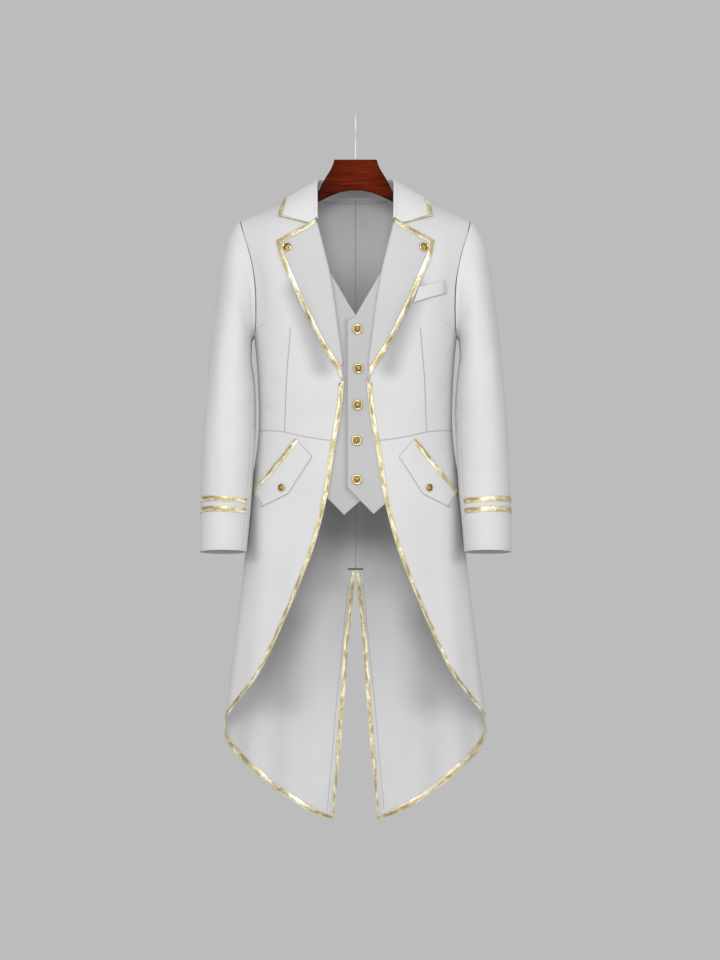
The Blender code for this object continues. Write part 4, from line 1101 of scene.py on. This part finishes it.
def make_buttons():
    for number, (across, drop) in enumerate(WAISTCOAT_BUTTONS, 1):
        lift = OVER_LIFT + LIGHT_CLOTH + EDGE_GAP
        make_button(f"waistcoat_button_{number}", place(across, drop), lift, WAISTCOAT_BUTTON_SIZE, 1)
    for side_name, side in SIDES:
        lift = LAPEL_LIFT + LAPEL_PUFF + CLOTH
        make_button("lapel_button_" + side_name, place(*LAPEL_BUTTON), lift, LAPEL_BUTTON_SIZE, side)
        lift = LAID_LIFT + CLOTH + EDGE_GAP + 0.2
        make_button("flap_button_" + side_name, place(*FLAP_BUTTON), lift, FLAP_BUTTON_SIZE, side)


# The hanger and its hook.

def line_curve(name, points, radius, roundness):
    """A curve through points in millimetres, rounded to a radius."""
    curve = bpy.data.curves.new(name, "CURVE")
    curve.dimensions = "3D"
    curve.bevel_depth = radius * MM
    curve.bevel_resolution = roundness
    line = curve.splines.new("POLY")
    line.points.add(len(points) - 1)
    for point, (x, y, z) in zip(line.points, points):
        point.co = (x * MM, y * MM, z * MM, 1)
    return curve


def make_hanger():
    """The wooden bar: a flat outline, cut to lie just under the shoulders."""
    arm = []
    for i in range(HANGER_ARM_STEPS + 1):
        share = i / HANGER_ARM_STEPS
        across = HANGER_ARM_START + (HANGER_ARM_END - HANGER_ARM_START) * share
        under = HANGER_UNDER_CLOTH + (HANGER_TIP_UNDER_CLOTH - HANGER_UNDER_CLOTH) * share ** 3
        arm.append((across, shoulder_drop(across) + under))
    half = list(HANGER_NECK) + arm + list(HANGER_NOSE) + list(HANGER_FOOT)
    whole = half + [(-across, drop) for across, drop in reversed(half)]
    curve = line_curve("hanger", [(across, -drop, 0) for across, drop in whole], HANGER_BEVEL, 3)
    curve.dimensions = "2D"
    curve.fill_mode = "BOTH"
    curve.extrude = (HANGER_THICK / 2 - HANGER_BEVEL) * MM
    curve.offset = -HANGER_BEVEL * MM
    curve.splines[0].use_cyclic_u = True
    add_piece("hanger_bar", curve, WOOD).rotation_euler = (math.pi / 2, 0, 0)


def make_hook():
    """The steel hook, seen edge on from the front; the inside of its bend is the origin."""
    points = [(0, aside, high) for aside, high in HOOK_STEM]
    for i in range(HOOK_STEPS + 1):
        angle = math.radians(HOOK_START + HOOK_TURN * i)
        points.append((0, HOOK_BEND * math.cos(angle), HOOK_WIRE - HOOK_BEND + HOOK_BEND * math.sin(angle)))
    curve = line_curve("hook", points, HOOK_WIRE, 5)
    curve.use_fill_caps = True
    add_piece("hook", curve, STEEL)


def make_bar_tack():
    """The thread bar sewn across the top of the vent, on the inside of the backs."""
    points = []
    for i in range(TACK_STEPS + 1):
        across = TACK_HALF * (2 * i / TACK_STEPS - 1)
        spot = lifted(place(abs(across) + 0.01, TACK_DROP, True), TACK_LIFT)
        points.append((across, spot.y, spot.z))
    curve = line_curve("bar_tack", points, TACK_RADIUS, 2)
    curve.use_fill_caps = True
    curve.materials.append(THREAD)
    made = bpy.data.objects.new("vent_bar_tack", curve)
    bpy.context.scene.collection.objects.link(made)
    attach(made, "root")


# Looks.

TREE = None


def add(kind, settings=None, inputs=None):
    """A node in the material being built; an input that is a socket is linked, any other is set."""
    node = TREE.nodes.new(kind)
    for key, value in (settings or {}).items():
        setattr(node, key, value)
    for key, value in (inputs or {}).items():
        give(node.inputs[key], value)
    return node


def give(socket, value):
    if isinstance(value, bpy.types.NodeSocket):
        TREE.links.new(value, socket)
    else:
        socket.default_value = value


def math_node(operation, first, second=0.0, clamp=False):
    settings = {"operation": operation, "use_clamp": clamp}
    return add("ShaderNodeMath", settings, {0: first, 1: second}).outputs[0]


def vector_node(operation, first, second):
    """The vector that a vector node gives for its first two inputs."""
    return add("ShaderNodeVectorMath", {"operation": operation}, {0: first, 1: second}).outputs[0]


def weighed(first, first_share, second, second_share):
    """The sum of two values, each times its share."""
    first, second = math_node("MULTIPLY", first, first_share), math_node("MULTIPLY", second, second_share)
    return math_node("ADD", first, second)


def ramp(value, stops):
    """A colour from a value; a stop's colour is a number for a grey or three for red, green and blue."""
    node = add("ShaderNodeValToRGB", None, {0: value})
    steps = node.color_ramp.elements
    while len(steps) < len(stops):
        steps.new(0.5)
    for step, (spot, colour) in zip(steps, stops):
        step.position = spot
        step.color = (*colour, 1) if isinstance(colour, tuple) else (colour, colour, colour, 1)
    return node.outputs[0]


def noise(vector, scale, detail=2.0, rough=0.5, distort=0.0):
    inputs = {"Vector": vector, "Scale": scale, "Detail": detail, "Roughness": rough, "Distortion": distort}
    return add("ShaderNodeTexNoise", None, inputs).outputs[0]


def stretched(vector, scale):
    return add("ShaderNodeMapping", None, {"Vector": vector, "Scale": scale}).outputs[0]


def ranged(value, low, high):
    """A value from 0 to 1 brought to the range from low to high."""
    return add("ShaderNodeMapRange", None, {0: value, 3: low, 4: high}).outputs[0]


def mix(share, first, second, kind="MIX"):
    node = add("ShaderNodeMix", {"data_type": "RGBA", "blend_type": kind})
    for socket, value in zip([s for s in node.inputs if s.enabled], (share, first, second)):
        give(socket, value)
    return [s for s in node.outputs if s.enabled][0]


def times(first, second):
    return mix(1.0, first, second, "MULTIPLY")


def started(name):
    """A new material, whose tree is built on from here, and the object's own coordinates."""
    global TREE
    made = bpy.data.materials.new(name)
    made.use_nodes = True
    TREE = made.node_tree
    return made, add("ShaderNodeTexCoord").outputs["Object"]


def finished(made, colour, rough, bump=None, **shares):
    """Gives the shader its colour, roughness, bump as (strength, distance, height), and other shares."""
    shader = TREE.nodes["Principled BSDF"]
    give(shader.inputs["Base Color"], colour)
    give(shader.inputs["Roughness"], rough)
    if bump:
        give(shader.inputs["Normal"], add("ShaderNodeBump", None, dict(zip(BUMP_INPUTS, bump))).outputs[0])
    for key, value in shares.items():
        give(shader.inputs[key.replace("_", " ")], value)
    return made


BUMP_INPUTS = ("Strength", "Distance", "Height")
# Widths in millimetres: a wider line is painted shade, only on the side that faces the front; a narrower one
# is also pressed in.
SHADE_WIDTH = 3
PRESSED_WIDTH = 2


def near_line(coords, line, half_width, signed):
    """1 on a line of (across, drop) places, on both halves unless signed, falling smoothly to 0 beside it."""
    split = add("ShaderNodeSeparateXYZ", None, {0: coords})
    across = split.outputs[0] if signed else math_node("ABSOLUTE", split.outputs[0])
    flat = add("ShaderNodeCombineXYZ", None, {0: across, 1: 0.0, 2: split.outputs[2]}).outputs[0]
    nearest = None
    for a, b in zip(line, line[1:]):
        start = Vector((a[0], 0, -a[1])) * MM
        way = Vector((b[0], 0, -b[1])) * MM - start
        off = vector_node("SUBTRACT", flat, start)
        dot = add("ShaderNodeVectorMath", {"operation": "DOT_PRODUCT"}, {0: off, 1: way}).outputs[1]
        share = math_node("DIVIDE", dot, way.length_squared, clamp=True)
        foot = add("ShaderNodeVectorMath", {"operation": "SCALE"}, {0: way, 3: share}).outputs[0]
        gap = add("ShaderNodeVectorMath", {"operation": "DISTANCE"}, {0: off, 1: foot}).outputs[1]
        nearest = gap if nearest is None else math_node("MINIMUM", nearest, gap)
    return add("ShaderNodeMapRange", {"interpolation_type": "SMOOTHSTEP"},
               {0: nearest, 1: 0.0, 2: half_width * MM, 3: 1.0, 4: 0.0}).outputs[0]


def twill(name, lines=(), tone_and_painted_light_share=1.0):
    """Grey-white woven twill: fine slanting ribs, a slight yarn fleck and soft changes of tone.

    Each line is (places, half width, darkness, signed): a narrow one is a seam or edge and a wide one is
    painted shade.
    The tone share makes the whole cloth darker or paler; on the waistcoat, lapels and collar that is painted
    shade and light.
    """
    made, coords = started(name)
    wave = {"Vector": coords, "Scale": 620.0, "Distortion": 1.2, "Detail": 1.0, "Detail Scale": 2.0}
    ribs = add("ShaderNodeTexWave", {"wave_type": "BANDS", "bands_direction": "DIAGONAL"}, wave).outputs[1]
    fleck = noise(coords, 1500.0)
    slub = noise(stretched(coords, (1.0, 1.0, 0.12)), 900.0)
    colour = ramp(noise(coords, 7.0, 3.0), ((0.30, (0.635, 0.635, 0.640)), (0.72, (0.672, 0.672, 0.676))))
    colour = times(colour, ramp(fleck, ((0.30, (0.93, 0.93, 0.935)), (0.62, 1.0))))
    colour = times(colour, ramp(ribs, ((0.0, (0.95, 0.95, 0.955)), (0.45, 1.0))))
    height = weighed(ribs, 0.5, slub, 0.5)
    # The tone share is the thread's own dark, and painted shade or light on the waistcoat, lapels and collar.
    colour = times(colour, (tone_and_painted_light_share, tone_and_painted_light_share, tone_and_painted_light_share, 1))
    # This mask keeps painted shade on the side of a piece that faces the front.
    normal = add("ShaderNodeNewGeometry").outputs["True Normal"]
    facing = add("ShaderNodeSeparateXYZ", None, {0: normal}).outputs[1]
    inside = math_node("MULTIPLY", facing, -4.0, clamp=True)
    for line, half_width, dark, signed in lines:
        # A narrow line is a seam or edge; a wide one is painted shade.
        sewn = near_line(coords, line, half_width, signed)
        if half_width > SHADE_WIDTH:
            sewn = math_node("MULTIPLY", sewn, inside)
        colour = mix(math_node("MULTIPLY", sewn, dark), colour, (0.28, 0.28, 0.29, 1))
        if half_width < PRESSED_WIDTH:
            height = math_node("SUBTRACT", height, math_node("MULTIPLY", sewn, 3.0))
    return finished(made, colour, ranged(fleck, 0.70, 0.86), (0.35, 0.00025, height), Sheen_Weight=0.12,
                    Sheen_Roughness=0.45, Specular_IOR_Level=0.3)


def foil_ribbon():
    """Gold foil on a woven ribbon: long gold streaks of its own with painted highlights in their palest
    parts, a fine crinkle, and painted highlights on the pale rolled edges.
    """
    made, coords = started("foil")
    down, across = (add("ShaderNodeAttribute", {"attribute_name": title}).outputs["Fac"]
                    for title in ("down_ribbon", "across_ribbon"))
    spot = add("ShaderNodeCombineXYZ", None, {0: down, 1: across, 2: 0.0}).outputs[0]
    moved = vector_node("ADD", stretched(spot, (0.045, 1.1, 1.0)), stretched(coords, (6, 6, 2)))
    streak = noise(moved, 1.0, 3.0, 0.55, 0.4)
    crinkle = noise(coords, 330.0, 3.0, 0.6, 0.5)
    # The darker golds are the foil's own streaks; the palest stop is a painted highlight.
    colour = ramp(weighed(streak, 0.72, crinkle, 0.28), (
        (0.36, (0.30, 0.23, 0.10)), (0.46, (0.50, 0.41, 0.20)), (0.54, (0.72, 0.64, 0.40)),
        (0.62, (0.98, 0.94, 0.78))))
    # Painted highlight along the rolled edges of the ribbon.
    aside = math_node("ABSOLUTE", math_node("SUBTRACT", across, 0.5))
    edge_share = add("ShaderNodeMapRange", None, {0: aside, 1: 0.30, 2: 0.48, 3: 0.0, 4: 0.6}).outputs[0]
    colour = mix(edge_share, colour, (0.95, 0.90, 0.70, 1))
    crown = math_node("MULTIPLY", math_node("SUBTRACT", 0.5, aside), 3.0)
    height = math_node("ADD", math_node("ADD", streak, crown), math_node("MULTIPLY", crinkle, 0.5))
    return finished(made, colour, ranged(crinkle, 0.30, 0.55), (0.35, 0.0012, height), Metallic=0.45)


def button_metal():
    """Polished gold-coloured metal, dark in the sunk ring round the petals."""
    made, coords = started("button_metal")
    flat = vector_node("MULTIPLY", coords, (1, 1, 0))
    radius = add("ShaderNodeVectorMath", {"operation": "LENGTH"}, {0: flat}).outputs[1]
    colour = ramp(math_node("DIVIDE", radius, 9 * MM), (
        (0.0, (0.62, 0.46, 0.18)), (0.36, (0.40, 0.27, 0.09)), (0.55, (0.10, 0.065, 0.02)),
        (0.68, (0.70, 0.53, 0.22)), (0.82, (0.96, 0.80, 0.45)), (1.0, (0.60, 0.43, 0.16))))
    scratch = noise(coords, 1200.0, 3.0)
    colour = times(colour, ramp(scratch, ((0.3, (0.82, 0.80, 0.76)), (0.6, 1.0))))
    return finished(made, colour, ranged(scratch, 0.16, 0.36), (0.2, 0.0002, scratch), Metallic=1.0)


def mahogany():
    """Dark red-brown wood, grained along the bar, with painted shade that darkens it towards its ends, and
    with little shine.
    """
    made, coords = started("mahogany")
    grain = noise(stretched(coords, (4.0, 60.0, 60.0)), 3.0, 5.0, 0.6, 0.8)
    pores = noise(stretched(coords, (30.0, 900.0, 900.0)), 1.0)
    colour = ramp(grain, ((0.32, (0.052, 0.005, 0.001)), (0.50, (0.115, 0.011, 0.002)),
                          (0.68, (0.180, 0.024, 0.004))))
    colour = times(colour, ramp(noise(coords, 9.0), ((0.3, (0.75, 0.72, 0.70)), (0.7, (1.1, 1.05, 1.0)))))
    colour = times(colour, ramp(pores, ((0.36, (0.72, 0.68, 0.68)), (0.46, 1.0))))
    # Painted shade: the bar lighter in the middle and darker towards its ends.
    off = math_node("ABSOLUTE", add("ShaderNodeSeparateXYZ", None, {0: coords}).outputs[0])
    painted_end_shade = ramp(math_node("DIVIDE", off, 0.08), ((0.25, (1.12, 1.15, 1.15)), (0.85, (0.55, 0.5, 0.5))))
    return finished(made, times(colour, painted_end_shade), ranged(grain, 0.30, 0.48), (0.15, 0.0003, pores),
                    Specular_IOR_Level=0.01)


def wire_steel():
    """Pale steel wire with fine drawn lines along it."""
    made, coords = started("wire_steel")
    drawn = noise(stretched(coords, (900.0, 900.0, 40.0)), 1.0)
    colour = ramp(drawn, ((0.3, (0.66, 0.65, 0.56)), (0.7, (0.72, 0.71, 0.62))))
    return finished(made, colour, ranged(drawn, 0.50, 0.64), Metallic=0.1)


TWILL = twill("twill_plain")
# The cloths of the pieces that have lines or a tone of their own. Their wide lines are painted shade, and the
# darker waistcoat and lapels and the paler collar are painted shade and light on one cloth.
TWILLS = {
    "front": twill("twill_front", ((DART, 1.7, 0.8, 0), (WAIST_SEAM, 1.6, 0.6, 0), (HOLLOW_SHADE, 34, 0.62, 0))),
    "skirt": twill("twill_skirt", ((WAIST_SEAM, 1.6, 0.6, 0), (CUFF_SHADE, 24, 0.6, 0))),
    "back": twill("twill_back", ((VENT_STITCH, 1.3, 0.6, 0), (BACK_SEAM, 1.5, 0.6, 0),
                                 (BACK_NECK_SEAM, 1.5, 0.5, 0), (NECK_SHADE, 180, 1.0, 0),
                                 (TAIL_SHADE, 66, 0.5, 0), (VENT_SHADE, 44, 0.25, 0),
                                 (GAP_SHADE, 24, 1.0, 0))),
    "flap": twill("twill_flap", ((FLAP_OUTLINE, 2.2, 0.8, 0),)),
    "breast_welt": twill("twill_welt", ((WELT_OUTLINE, 2.0, 0.6, 1), (WELT_STITCH, 1.4, 0.6, 1))),
    # Painted shade and light: the waistcoat fronts and lapels are this cloth made darker, the collar this
    # cloth made paler.
    "waistcoat_right": twill("twill_vest_over", ((VEST_EDGE, 1.6, 0.5, 1),), 0.75),
    "waistcoat_left": twill("twill_vest_under", ((VEST_SHADE, 9.0, 0.5, 1),), 0.72),
    "lapel": twill("twill_lapel", (), 0.86),
    "collar": twill("twill_collar", (), 1.12),
}
GOLD = foil_ribbon()
BUTTON_GOLD = button_metal()
WOOD = mahogany()
STEEL = wire_steel()
THREAD = twill("thread", (), 0.12)
EDGE_POINTS = [lifted(place(across, drop, back), COLLAR_LIFT) for _, across, drop, back in COLLAR_EDGE]

open_edge = outline()
panel_edge = inset(open_edge, RIBBON_WIDTH + EDGE_GAP)
for side_name, side in SIDES:
    make_fronts(panel_edge, side_name, side)
    make_skirts(panel_edge, side_name, side)
    make_backs(panel_edge, side_name, side)
    make_edge_ribbons(open_edge, side_name, side)
    make_lapels(side_name, side)
    make_sleeves(side_name, side)
    make_flaps(side_name, side)
make_collar()
make_waistcoat()
make_welt()
make_buttons()
make_hanger()
make_hook()
make_bar_tack()


# Studio.

MIDDLE = (0, 0, -0.6)
# Lights: name, place, size and watts. The key light comes from a little above and the others fill both sides.
LIGHTS = (("key", (-0.1, -3.5, 0.6), (1.1, 0.9), 68), ("left", (-2.4, -3.0, -0.2), (1.6, 2.4), 22),
          ("right", (2.4, -3.0, -0.2), (1.6, 2.4), 22))
WORLD_GREY = 0.503
FLOOR_RADIUS, FLOOR_SIDES, FLOOR_SPOT = 1.2, 96, (0, 0.1, -1.95)
# The picture is 1.728 m high where the coat hangs, 5 m from the camera.
CAMERA_SPOT, SENSOR, PICTURE_HEIGHT = (0.008, -5, -0.657), 36, 1.728


def area_light(name, spot, size, watts):
    """A white area light turned to the middle of the coat."""
    lamp = bpy.data.lights.new(name, "AREA")
    lamp.shape = "RECTANGLE"
    lamp.size, lamp.size_y = size
    lamp.energy = watts
    made = bpy.data.objects.new(name, lamp)
    made.location = spot
    made.rotation_euler = (Vector(MIDDLE) - Vector(spot)).to_track_quat("-Z", "Y").to_euler()
    bpy.context.scene.collection.objects.link(made)


scene = bpy.context.scene
scene.view_settings.view_transform = "Standard"
world = bpy.data.worlds.new("studio")
world.use_nodes = True
world.node_tree.nodes["Background"].inputs[0].default_value = (WORLD_GREY, WORLD_GREY, WORLD_GREY, 1)
scene.world = world
for light in LIGHTS:
    area_light(*light)

floor_mesh = bpy.data.meshes.new("floor")
shell = bmesh.new()
bmesh.ops.create_circle(shell, cap_ends=True, segments=FLOOR_SIDES, radius=FLOOR_RADIUS)
shell.to_mesh(floor_mesh)
shell.free()
floor = bpy.data.objects.new("floor", floor_mesh)
floor.location = FLOOR_SPOT
pale, coords = started("pale_floor")
floor_mesh.materials.append(finished(pale, ramp(noise(coords, 3.0), ((0.3, 0.50), (0.7, 0.54))), 0.9))
scene.collection.objects.link(floor)

lens = bpy.data.cameras.new("camera")
lens.sensor_width = SENSOR
lens.sensor_fit = "AUTO"
lens.lens = SENSOR * -CAMERA_SPOT[1] / PICTURE_HEIGHT
lens.clip_end = 50
camera = bpy.data.objects.new("camera", lens)
camera.location = CAMERA_SPOT
camera.rotation_euler = (math.pi / 2, 0, 0)
scene.collection.objects.link(camera)
scene.camera = camera

bpy.context.view_layer.update()
